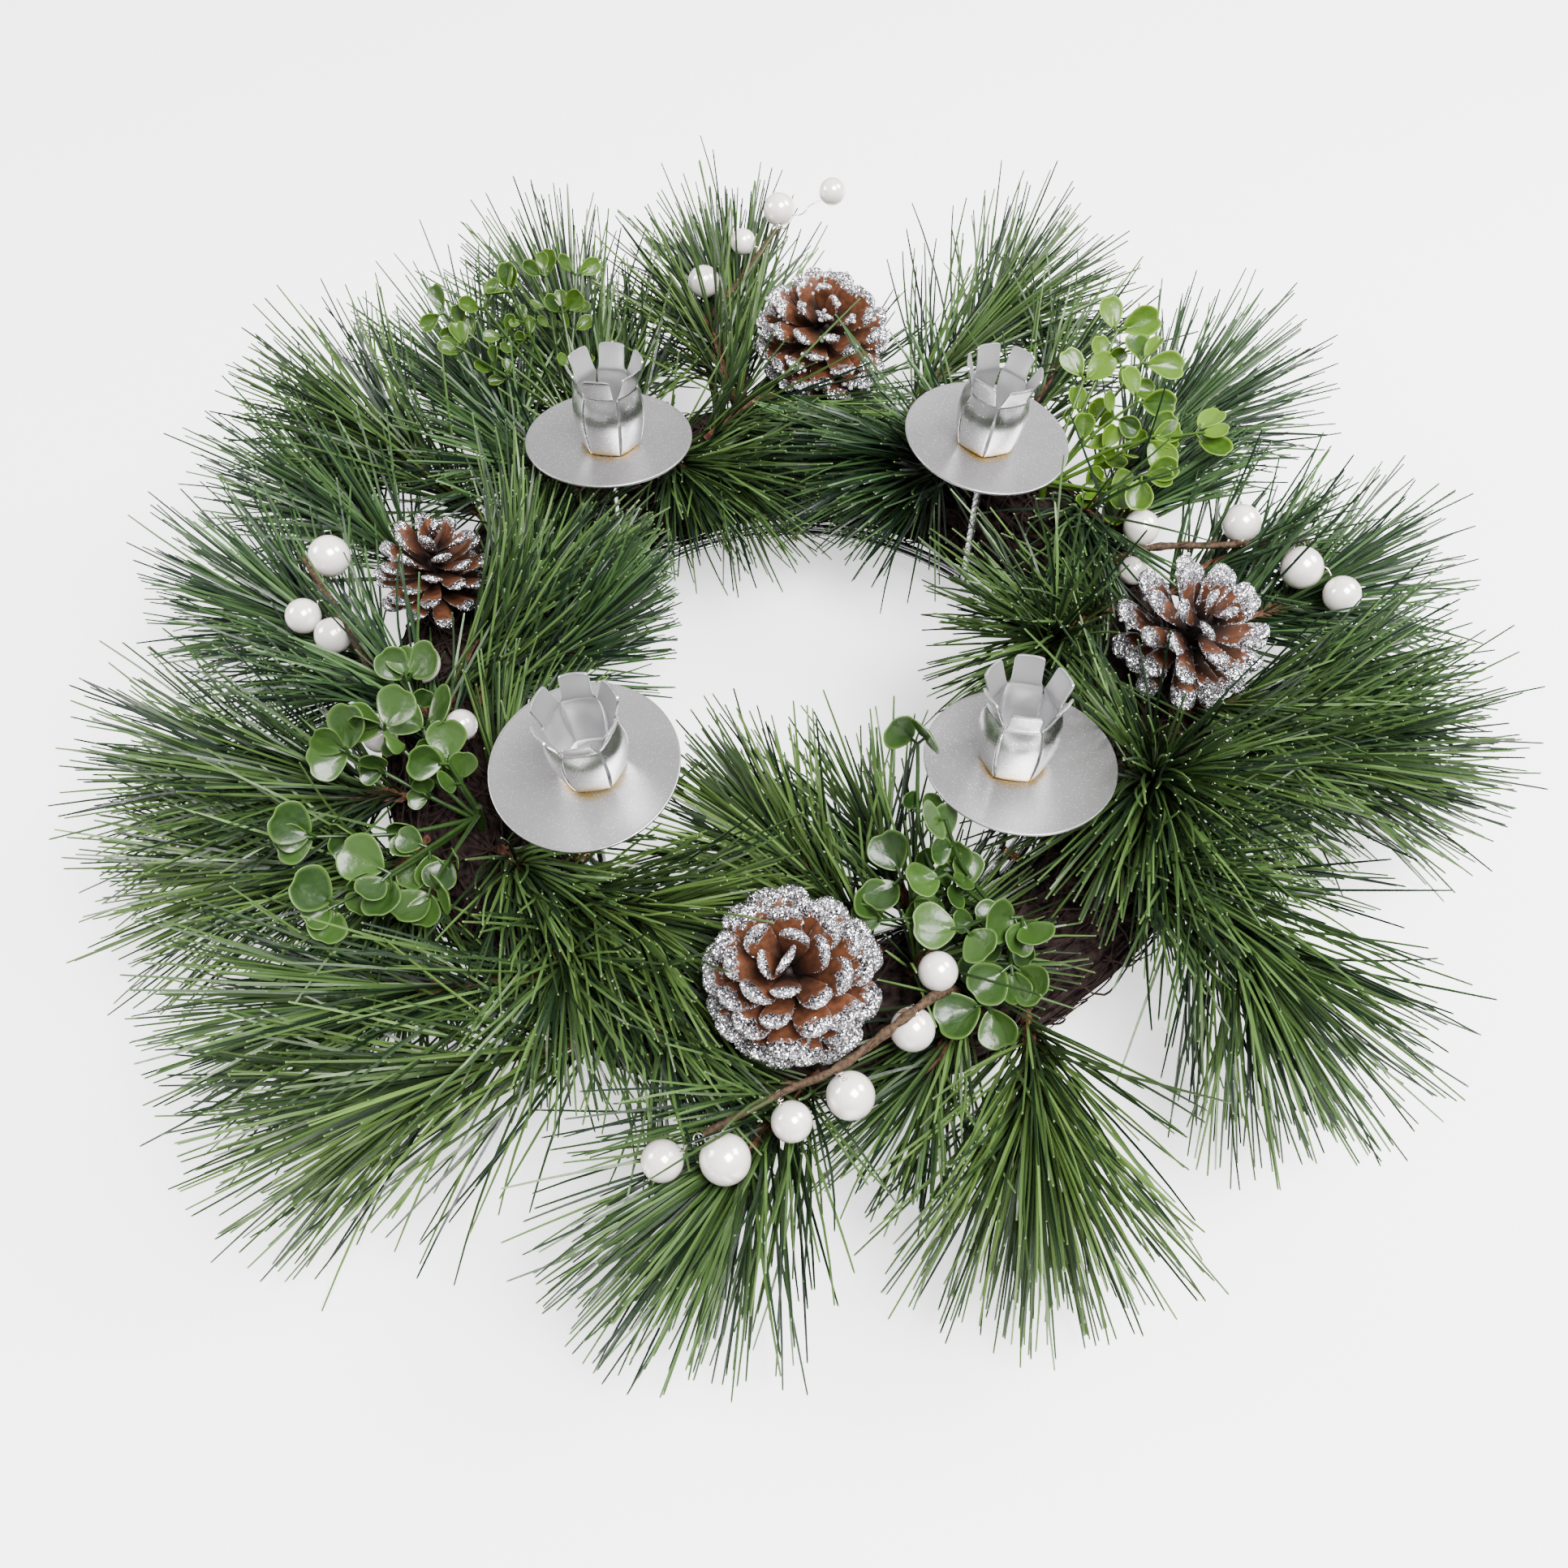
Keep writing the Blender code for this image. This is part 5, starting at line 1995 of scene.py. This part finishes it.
@dataclass
class NeedleSpray:
    """One pine spray: a twig with long needles that lean towards its tip."""

    name: str
    angle: float
    section: float
    end: Point
    needle: float
    tone: Tone = Tone.GREEN
    spread: float = 45.0
    count: int = 300
    filler: bool = False

    def line(self) -> list[Vector]:
        """The twig's run, from the roots to its end.

        Returns:
            Its places, in metres.
        """
        seat = RootRing().skin(math.radians(self.angle), math.radians(self.section), 0.3)
        end = at(*self.end)
        bow = (seat + end) / 2 + UP * 2.5 * MM
        return smooth_run([seat, bow, end], 16)

    def grow(
        self, masters: Sequence[Piece], runs: Sequence[list[Vector]], clear: Clearances
    ) -> list[Placing]:
        """Where the needles go.

        Args:
            masters: the modelled needles.
            runs: the middle line of each.
            clear: what they keep off.

        Returns:
            A placing for each needle.
        """
        rng = random.Random(self.name)
        line = self.line()
        axis = 0 if abs(line[0].x - CENTRE.x) > abs(line[0].y - CENTRE.y) else 1
        sign = math.copysign(1, line[0][axis] - CENTRE[axis])
        placings = []
        for i in range(self.count):
            # Four needles in nine stand at the twig's tip, and the others in whorls.
            at_tip = i % 9 < 4
            whorl = 1 - 0.13 * rng.random() if at_tip else rng.choice(WHORLS) + rng.gauss(0, 0.02)
            step = min(15.99, max(0.6, 16 * whorl))
            k = int(step)
            root = line[k].lerp(line[k + 1], step - k)
            along = (line[k + 1] - line[k]).normalized()
            across = along.orthogonal().normalized()
            for _ in range(12):
                if at_tip:
                    lean = math.radians(self.spread * rng.uniform(0.04, 1.0) ** 0.8)
                else:
                    lean = math.radians(rng.uniform(22, 58) - 8 * whorl)
                kind = rng.randrange(len(masters))
                out = Matrix.Rotation(rng.uniform(0, math.tau), 3, along) @ across
                way = along * math.cos(lean) + out * math.sin(lean)
                down = along * rng.uniform(0.0, 1.0) - UP * rng.uniform(0.0, 0.9)
                down += jitter(rng, 0.35)
                length = self.needle * rng.uniform(0.7, 1.03) / NEEDLE_LENGTH
                turn = Matrix.Translation(root) @ axes_of(way, down)
                matrix = turn @ Matrix.Diagonal((MM, MM, MM * length, 1))
                run = [matrix @ p for p in runs[kind]]
                if self.is_free(run, clear, axis, sign, rng.random() < 0.06):
                    shade_of = rng.random()
                    tints = next(tints for share, tints in NEEDLE_TINTS if shade_of < share)
                    placings.append((kind, matrix, rng.uniform(*tints)))
                    break
        LOG.info("%s: %d of %d needles", self.name, len(placings), self.count)
        return placings

    def is_free(
        self, run: list[Vector], clear: Clearances, axis: int, sign: float, stray: bool
    ) -> bool:
        """Whether a needle keeps off the table, the hole, the holders and the cones.

        Args:
            run: its middle line.
            clear: the solids to keep off.
            axis: of the hole's side that the spray is on.
            sign: of that side.
            stray: whether the needle may cross in front of what the camera should see.

        Returns:
            True where the needle may stay.
        """
        if min(p.z for p in run) < 0.8 * MM:
            return False
        tip = run[-1]
        if (tip[axis] - CENTRE[axis]) * sign < HOLE_HALF * MM:
            return False
        if max(abs(tip.x), abs(tip.y)) > NEEDLE_REACH or tip.z > NEEDLE_TOP:
            return False
        if clear.solids.blocks(run[1:], 0.9 * MM):
            return False
        return stray or not clear.shown.hidden_by(run, 0.07)


@dataclass
class PineWork:
    """The needles and twigs of all the sprays."""

    bends: tuple[float, ...] = (0.5, 3.0, 6.0, 9.5, 14.0)
    # A needle's radius from its root to its cut tip.
    radii: tuple[float, ...] = (0.42, 0.5, 0.53, 0.53, 0.5, 0.42, 0.32)

    def needle(self, bend: float) -> tuple[Piece, list[Vector]]:
        """One needle, 75 mm long, cut blunt at its tip and bent towards +X.

        Args:
            bend: how far its tip is off the line, in millimetres.

        Returns:
            The needle's mesh, and its middle line.
        """
        piece = start("needle", CIRCLE, vertices=3, radius=self.radii[0], fill_type="NGON")
        steps = len(self.radii) - 1
        marks = range(steps + 1)
        run = [Vector((bend * (k / steps) ** 2, 0, NEEDLE_LENGTH * k / steps)) for k in marks]
        with editing(piece, "FACE", "SELECT"):
            for k in range(steps):
                grow = self.radii[k + 1] / self.radii[k]
                extrude(tuple(run[k + 1] - run[k]), (grow, grow, 1), tuple(run[k + 1]))
            bpy.ops.mesh.select_all(action="SELECT")
            bpy.ops.mesh.normals_make_consistent(inside=False)
        set_values(piece, "along", [v.co.z / NEEDLE_LENGTH for v in piece.data.vertices])
        return piece, run

    def bracts(self, sprays: Sequence[NeedleSpray], bark: Material) -> None:
        """The brown twigs, with small scales where the needles leave them.

        Args:
            sprays: the sprays.
            bark: the material.
        """
        rng = random.Random(5)
        paths = []
        for spray in sprays:
            line = spray.line()
            paths.append((line, [1.7 - 0.05 * k for k in range(17)]))
            for k in range(3, 17):
                way = (line[min(k + 1, 16)] - line[k - 1]).normalized()
                for _ in range(2):
                    side = square_to(jitter(rng), way)
                    ends = [line[k], line[k] + (side * 1.9 + way * 2.5) * MM]
                    ends.append(line[k] + (side * 2.2 + way * 6.5) * MM)
                    paths.append((ends, [0.9, 0.8, 0.15]))
        twigs = tubes("spray_twigs", paths, 0)
        set_values(twigs, "tint", 0.0)
        shade(twigs, 60)
        finish_piece(twigs, bark, "root_brown")

    def build(self, sprays: Sequence[NeedleSpray], bark: Material) -> None:
        """Make every spray.

        Args:
            sprays: the sprays.
            bark: the twigs' material.
        """
        materials = {finish.tone: finish.build() for finish in NEEDLE_FINISHES}
        made = [self.needle(bend) for bend in self.bends]
        masters, runs = [m for m, _ in made], [r for _, r in made]
        hard = ("plate_", "cup_", "rod_", "pine_cone_", "root_ring", "pearl_beads_", "wire_")
        shown = ("plate_", "cup_", "pine_cone_", "pearl_beads_", "leaf_bunch_")
        clear = Clearances(Obstacles((*hard, "leaf_bunch_")), Obstacles(shown))
        for spray in sprays:
            needles = copy_out(f"pine_{spray.name}", masters, spray.grow(masters, runs, clear))
            shade(needles, 75)
            nodes = () if spray.filler else (f"spray_{spray.name}",)
            finish_piece(needles, materials[spray.tone], spray.tone.value, *nodes)
        discard(*masters)
        self.bracts(sprays, bark)


HOLDERS = tuple(
    CandleHolder(*row)
    for row in (
        ("front_right", (69.1, -67.6), (68.2, -69.0), (0.037, 0.127, 0.991), (-2.2, 0.9), -8.6, True),
        ("back_right", (67.6, 69.1), (68.8, 72.0), (0.121, 0.048, 0.991), (-1.0, -0.8), 21.7, True),
        ("back_left", (-69.1, 67.6), (-67.7, 72.0), (0.005, 0.17, 0.985), (1.0, -1.4), -7.7),
        ("front_left", (-67.6, -69.1), (-66.4, -70.0), (-0.062, -0.085, 0.994), (2.7, 0.3), 5.6),
    )
)

CONES = (
    PineCone("front", (-3, -134, 71), (-0.12, -0.2, 0.97), 55, 52, 56, 0.25, 0.46, 4200, 0, 11),
    PineCone("right", (135, -4, 70), (0.3, -0.26, 0.92), 55, 50, 42, 0.19, 0.2, 4600, 60, 12),
    PineCone("left", (-129, 26, 68), (0.13, 0.3, 0.94), 43, 44, 44, 0.2, 0.54, 2000, 0, 13),
    PineCone("back", (11, 148, 70), (0.1, -0.3, 0.95), 55, 52, 56, 0.2, 0.6, 1700, 340, 14),
)

PEARL_TWIGS = (
    PearlTwig(
        "front", -68.0, 70.0,
        ((39, -138, 66), (12, -161, 71), (-5, -168, 68), (-28, -179, 64)),
        (
            (-40, -184, 56, 12.4), (-22, -184, 57, 15.0), (-3, -174, 60, 12.2),
            (14, -167, 62, 14.4), (33, -146, 61, 13.6), (41, -130, 67, 12.2),
        ),
        21,
    ),
    PearlTwig(
        "right", 23.0, 125.0,
        ((128, 46, 58), (158, 47, 59), (187, 46, 62)),
        (
            (128, 54, 61, 13.6), (125, 41, 52, 11.0), (165, 55, 62, 14.4), (184, 35, 60, 15.6),
            (197, 24, 58, 13.6),
        ),
        22,
    ),
    PearlTwig(
        "left", -167.0, 50.0,
        ((-142, -22, 57), (-157, 4, 63), (-178, 36, 66)),
        (
            (-169, 37, 66, 15.2), (-176, 14, 60, 12.8), (-164, 5, 60, 13.0), (-130, -12, 66, 14.6),
            (-141, -38, 60, 12.0), (-114, -34, 60, 11.0),
        ),
        23,
    ),
    PearlTwig(
        "back", 103.0, 60.0,
        ((-36, 165, 60), (-21, 183, 73), (-7, 200, 83)),
        (
            (16, 215, 90, 11.0), (-6, 209, 86, 13.2), (-21, 196, 80, 10.4), (-37, 181, 72, 13.2),
        ),
        24,
    ),
)

LEAF_PICKS = (
    LeafPick(
        "front_right", -58.0, 100.0,
        (
            ((45, -100, 66), (37, -88, 78), (36, -68, 97)),
            ((50, -98, 74), (43, -93, 94)),
            ((44, -104, 80),), ((31, -101, 73),), ((67, -114, 71),), ((49, -119, 74),),
            ((27, -112, 66),), ((64, -125, 61),), ((56, -136, 57),),
        ),
        13.2, 31,
    ),
    LeafPick(
        "front_left", -148.0, 95.0,
        (
            ((-124, -62, 62), (-146, -53, 71)),
            ((-122, -57, 66), (-134, -48, 77)),
            ((-122, -44, 72),),
            ((-128, -78, 62), (-152, -84, 70)),
            ((-124, -90, 62), (-142, -107, 68)),
            ((-126, -99, 73),), ((-114, -101, 68),),
            ((-122, -46, 66), (-129, -29, 78)),
            ((-113, -58, 72),),
        ),
        13.5, 32,
    ),
    LeafPick(
        "back_right", 41.0, 90.0,
        (
            ((112, 108, 74), (123, 128, 90)),
            ((116, 100, 74), (129, 108, 92)),
            ((112, 92, 70), (127, 95, 85)),
            ((115, 84, 64), (130, 81, 80)),
            ((120, 86, 70), (146, 77, 86)),
            ((114, 76, 58), (127, 67, 75)),
            ((110, 112, 80),), ((118, 73, 60),),
        ),
        13.0, 33, 0.78, tone=LeafTone.YELLOW,
    ),
    LeafPick(
        "back_left", 128.0, 78.0,
        (
            ((-98, 124, 62), (-120, 130, 82), (-134, 134, 95)),
            ((-98, 126, 64), (-119, 138, 94)),
            ((-98, 122, 60), (-126, 121, 88)),
            ((-97, 130, 66), (-109, 144, 96)),
            ((-92, 130, 66), (-97, 155, 95)),
            ((-88, 128, 66), (-86, 162, 90)),
            ((-90, 142, 88),),
        ),
        9.6, 34, 0.7, (0.86, 0.72), LeafTone.OLIVE,
    ),
)

SPRAYS = (
    NeedleSpray("front", -88, 25, (-16, -176, 42), 76),
    NeedleSpray("front_right", -61, 35, (70, -161, 42), 76, Tone.LIGHT),
    NeedleSpray("right_front", -30, 60, (140, -115, 50), 76),
    NeedleSpray("right_low", -14, 40, (176, -41, 50), 74),
    NeedleSpray("right_up", 7, 35, (183, 30, 46), 72, Tone.BLUE),
    NeedleSpray("upper_right", 37, 35, (150, 117, 50), 72, Tone.BLUE),
    NeedleSpray("back_right", 72, 40, (82, 176, 52), 72),
    NeedleSpray("back", 98, 35, (-26, 182, 50), 72),
    NeedleSpray("back_left", 121, 40, (-93, 165, 52), 72),
    NeedleSpray("back_left_low", 137, 30, (-128, 143, 44), 72, Tone.BLUE),
    NeedleSpray("left_up", 147, 45, (-156, 102, 56), 72),
    NeedleSpray("left_back", 161, 30, (-171, 76, 44), 72, Tone.BLUE),
    NeedleSpray("left", 178, 32, (-180, 25, 42), 72, Tone.BLUE),
    NeedleSpray("left_front", -161, 38, (-180, -46, 44), 74),
    NeedleSpray("left_low", -150, 18, (-172, -74, 30), 74, Tone.LIGHT),
    NeedleSpray("front_left", -117, 75, (-133, -129, 47), 76),
    NeedleSpray("front_left_low", -113, 32, (-116, -155, 40), 76, Tone.LIGHT),
    NeedleSpray("inner_left", -166, 112, (-98, 14, 66), 66),
    NeedleSpray("inner_left_low", -173, 135, (-80, 3, 56), 58, Tone.BLUE),
    NeedleSpray("inner_back", 107, 100, (-13, 125, 58), 66),
    NeedleSpray("inner_back_right", 50, 102, (44, 97, 58), 64, Tone.BLUE),
    NeedleSpray("inner_right", 14, 104, (84, -12, 74), 62, spread=100.0, count=380),
    NeedleSpray("inner_front", -77, 118, (0, -88, 60), 62, Tone.LIGHT),
    NeedleSpray("inner_front_left", -135, 98, (-50, -108, 60), 64, Tone.LIGHT),
    NeedleSpray("right_crown", -19, 88, (113, -66, 72), 66, spread=100.0, count=380),
    NeedleSpray("right_middle", -3, 22, (172, -13, 44), 70, Tone.BLUE),
)

FILLERS = tuple(
    NeedleSpray(f"fill_{name}", *row, spread=60.0, count=140, filler=True)
    for name, *row in (
        ("back", 112, 115, (-28, 98, 50), 58),
        ("back_right", 58, 118, (52, 90, 52), 54, Tone.BLUE),
        ("right_back", 27, 80, (122, 62, 58), 58, Tone.BLUE),
        ("right", 15, 50, (158, 46, 50), 58, Tone.BLUE),
        ("front_left", -130, 88, (-72, -122, 56), 58),
        ("front_ring", -118, 72, (-40, -142, 48), 56),
        ("left_inner", -153, 118, (-100, -50, 50), 54),
        ("front", -74, 95, (40, -118, 50), 52),
        ("right_front", -38, 80, (112, -88, 56), 60),
        ("left", -158, 60, (-150, -55, 46), 62),
        ("left_back", -175, 70, (-150, -10, 50), 60, Tone.BLUE),
        ("back_left", 147, 110, (-98, 62, 50), 56, Tone.BLUE),
        ("behind", 85, 60, (14, 142, 46), 56),
        ("front_low", -66, 62, (40, -152, 44), 54),
        ("left_pick", -152, 50, (-134, -86, 42), 60),
        ("left_top", -143, 96, (-90, -88, 58), 54),
        ("left_gap", -160, 40, (-150, -48, 30), 58),
        ("left_low", -146, 30, (-126, -92, 32), 58),
        ("right_mid", -8, 75, (152, -24, 56), 62),
        ("back_mid", 100, 80, (-34, 160, 64), 60, Tone.LIGHT),
        ("back_end", 118, 70, (-66, 156, 44), 58),
        ("back_inner", 117, 108, (-46, 96, 52), 54),
        ("left_ring", -172, 98, (-112, 2, 62), 54),
        ("left_crown", -160, 92, (-130, -24, 66), 52, Tone.BLUE),
        ("front_gap", -70, 116, (26, -84, 56), 56),
        ("right_pick", 37, 96, (108, 60, 62), 54, Tone.BLUE),
        ("back_corner", 51, 60, (106, 148, 52), 58),
        ("left_corner", 138, 70, (-112, 112, 56), 56, Tone.BLUE),
        ("left_behind", 124, 92, (-82, 120, 60), 54),
        ("left_crest", 134, 98, (-104, 90, 58), 54, Tone.BLUE),
        ("right_low", -17, 70, (146, -50, 50), 56),
    )
)


@dataclass
class Studio:
    """A plain pale floor, soft light and the camera."""

    camera_tilt: float = 33.166
    camera_roll: float = -0.2086
    lens: float = 1819.2 / 1932 * 36
    # How gray the surroundings are at some heights, from level to straight up.
    bands: tuple[tuple[float, float], ...] = ((0.0, 0.2), (0.3, 0.7), (0.6, 1.1), (0.9, 0.4))

    def floor(self) -> None:
        """The pale floor, which looks bright to the camera alone."""
        ground = start("studio_floor", bpy.ops.mesh.primitive_plane_add, size=8.0)
        shader = Shader("floor", Roughness=0.9, Emission_Color=WHITE)
        seen = shader.node("ShaderNodeLightPath").outputs["Is Camera Ray"]
        shader.link(seen, "Emission Strength")
        patches = shader.mottle(3.0, 0.2, 0.8)
        color = shader.mix(patches, (0.935, 0.935, 0.94), (0.95, 0.95, 0.95))
        shader.link(color, "Base Color")
        ground.data.materials.append(shader.material)

    def light(self, name: str, place: Point, size: float, power: float) -> None:
        """A square soft light that faces the wreath.

        Args:
            name: the light's name.
            place: in metres.
            size: of its side, in metres.
            power: in watts.
        """
        bpy.ops.object.select_all(action="DESELECT")
        bpy.ops.object.light_add(type="AREA", location=place)
        lamp = bpy.context.object
        lamp.name = name
        lamp.data.size = size
        lamp.data.energy = power
        lamp.rotation_euler = (-Vector(place)).to_track_quat("-Z", "Y").to_euler()

    def sky(self) -> None:
        """Soft gray all round, in bands by height, and plain white to the camera."""
        world = bpy.data.worlds.new("studio")
        world.use_nodes = True
        wiring = Wiring(world.node_tree)
        way = wiring.node("ShaderNodeTexCoord").outputs["Generated"]
        split = wiring.node("ShaderNodeSeparateXYZ")
        bands = wiring.node("ShaderNodeValToRGB")
        marks = bands.color_ramp.elements
        marks.new(0.3)
        marks.new(0.6)
        for mark, (place, gray) in zip(marks, self.bands):
            mark.position = place
            mark.color = (gray, gray, gray, 1.0)
        plain = wiring.node("ShaderNodeMix")
        plain.data_type = "RGBA"
        background = wiring.tree.nodes["Background"].inputs
        background["Strength"].default_value = 1.2
        wiring.feed(plain.inputs[7], WHITE)
        wiring.link(wiring.node("ShaderNodeLightPath").outputs["Is Camera Ray"], plain.inputs[0])
        wiring.link(way, split.inputs[0])
        wiring.link(split.outputs["Z"], bands.inputs["Fac"])
        wiring.link(bands.outputs["Color"], plain.inputs[6])
        wiring.link(plain.outputs[2], background["Color"])
        bpy.context.scene.world = world

    def camera(self) -> None:
        """The camera, at the photograph's place and angle."""
        bpy.ops.object.select_all(action="DESELECT")
        bpy.ops.object.camera_add()
        camera = bpy.context.object
        camera.name = "photo_camera"
        camera.data.lens = self.lens
        camera.data.sensor_width = 36.0
        camera.data.clip_start = 0.01
        middle = CENTRE + UP * WIRE_HEIGHT * MM
        turn = Matrix.Rotation(math.radians(self.camera_tilt), 4, "X")
        turn = turn @ Matrix.Rotation(math.radians(self.camera_roll), 4, "Z")
        place = Matrix.Translation(middle + Vector(CAMERA_PLACE) * MM)
        camera.matrix_world = place @ turn
        bpy.context.scene.camera = camera

    def build(self) -> None:
        """Make the floor, the lights, the surroundings and the camera."""
        self.floor()
        self.light("softbox_top", (0.45, -0.45, 1.5), 0.8, 90.0)
        self.light("softbox_right", (1.3, 0.4, 1.2), 0.7, 50.0)
        self.light("softbox_left", (-1.5, 0.2, 0.9), 0.6, 26.0)
        self.sky()
        self.camera()


NEEDLE_FINISHES = (
    NeedleFinish(Tone.GREEN, (0.003, 0.009, 0.005), (0.07, 0.13, 0.033)),
    NeedleFinish(Tone.BLUE, (0.003, 0.009, 0.006), (0.055, 0.112, 0.034)),
    NeedleFinish(Tone.LIGHT, (0.004, 0.011, 0.005), (0.085, 0.15, 0.034)),
)

LEAF_FINISHES = (
    LeafFinish(LeafTone.GREEN, (0.005, 0.017, 0.0035), (0.03, 0.067, 0.011), (0.05, 0.1, 0.018)),
    LeafFinish(LeafTone.YELLOW, (0.006, 0.024, 0.004), (0.075, 0.15, 0.01), (0.1, 0.185, 0.013)),
    LeafFinish(LeafTone.OLIVE, (0.004, 0.015, 0.003), (0.04, 0.085, 0.008), (0.062, 0.12, 0.01)),
)


def main() -> None:
    """Build the studio, then every sub-assembly in order."""
    logging.basicConfig(level=logging.INFO, format="%(message)s")
    Studio().build()
    RootRing().build()
    CandleRing([holder.foot for holder in HOLDERS]).build()
    steel = MetalFinish("rod_steel", (0.75, 0.75, 0.77), 0.28, 1.0, 0.03).build()
    for holder in HOLDERS:
        holder.build(steel)
    glitter, drops = GlitterFinish().build(), BeadFinish().build()
    for cone in CONES:
        cone.build(glitter, drops)
    bark = BarkFinish("twig_bark", (0.02, 0.011, 0.006), (0.07, 0.041, 0.022), 700.0, 0.7, 0.2).build()
    wire = MetalFinish("pearl_wire", (0.66, 0.6, 0.56), 0.25, 1.0, 0.03).build()
    pearly = PearlFinish().build()
    for twig in PEARL_TWIGS:
        twig.build(pearly, bark, wire)
    leaves = {finish.tone: finish.build() for finish in LEAF_FINISHES}
    clear = Obstacles(("plate_", "cup_", "rod_", "cone_", "root_ring"))
    for pick in LEAF_PICKS:
        slot = "leaf_green" if pick.tone is LeafTone.GREEN else "leaf_yellow_green"
        pick.build(leaves[pick.tone], slot, clear)
    brown = BarkFinish("spray_twig", (0.035, 0.014, 0.008), (0.12, 0.05, 0.027), 500.0, 0.6, 0.2).build()
    PineWork().build(SPRAYS + FILLERS, brown)


if __name__ == "__main__":
    main()
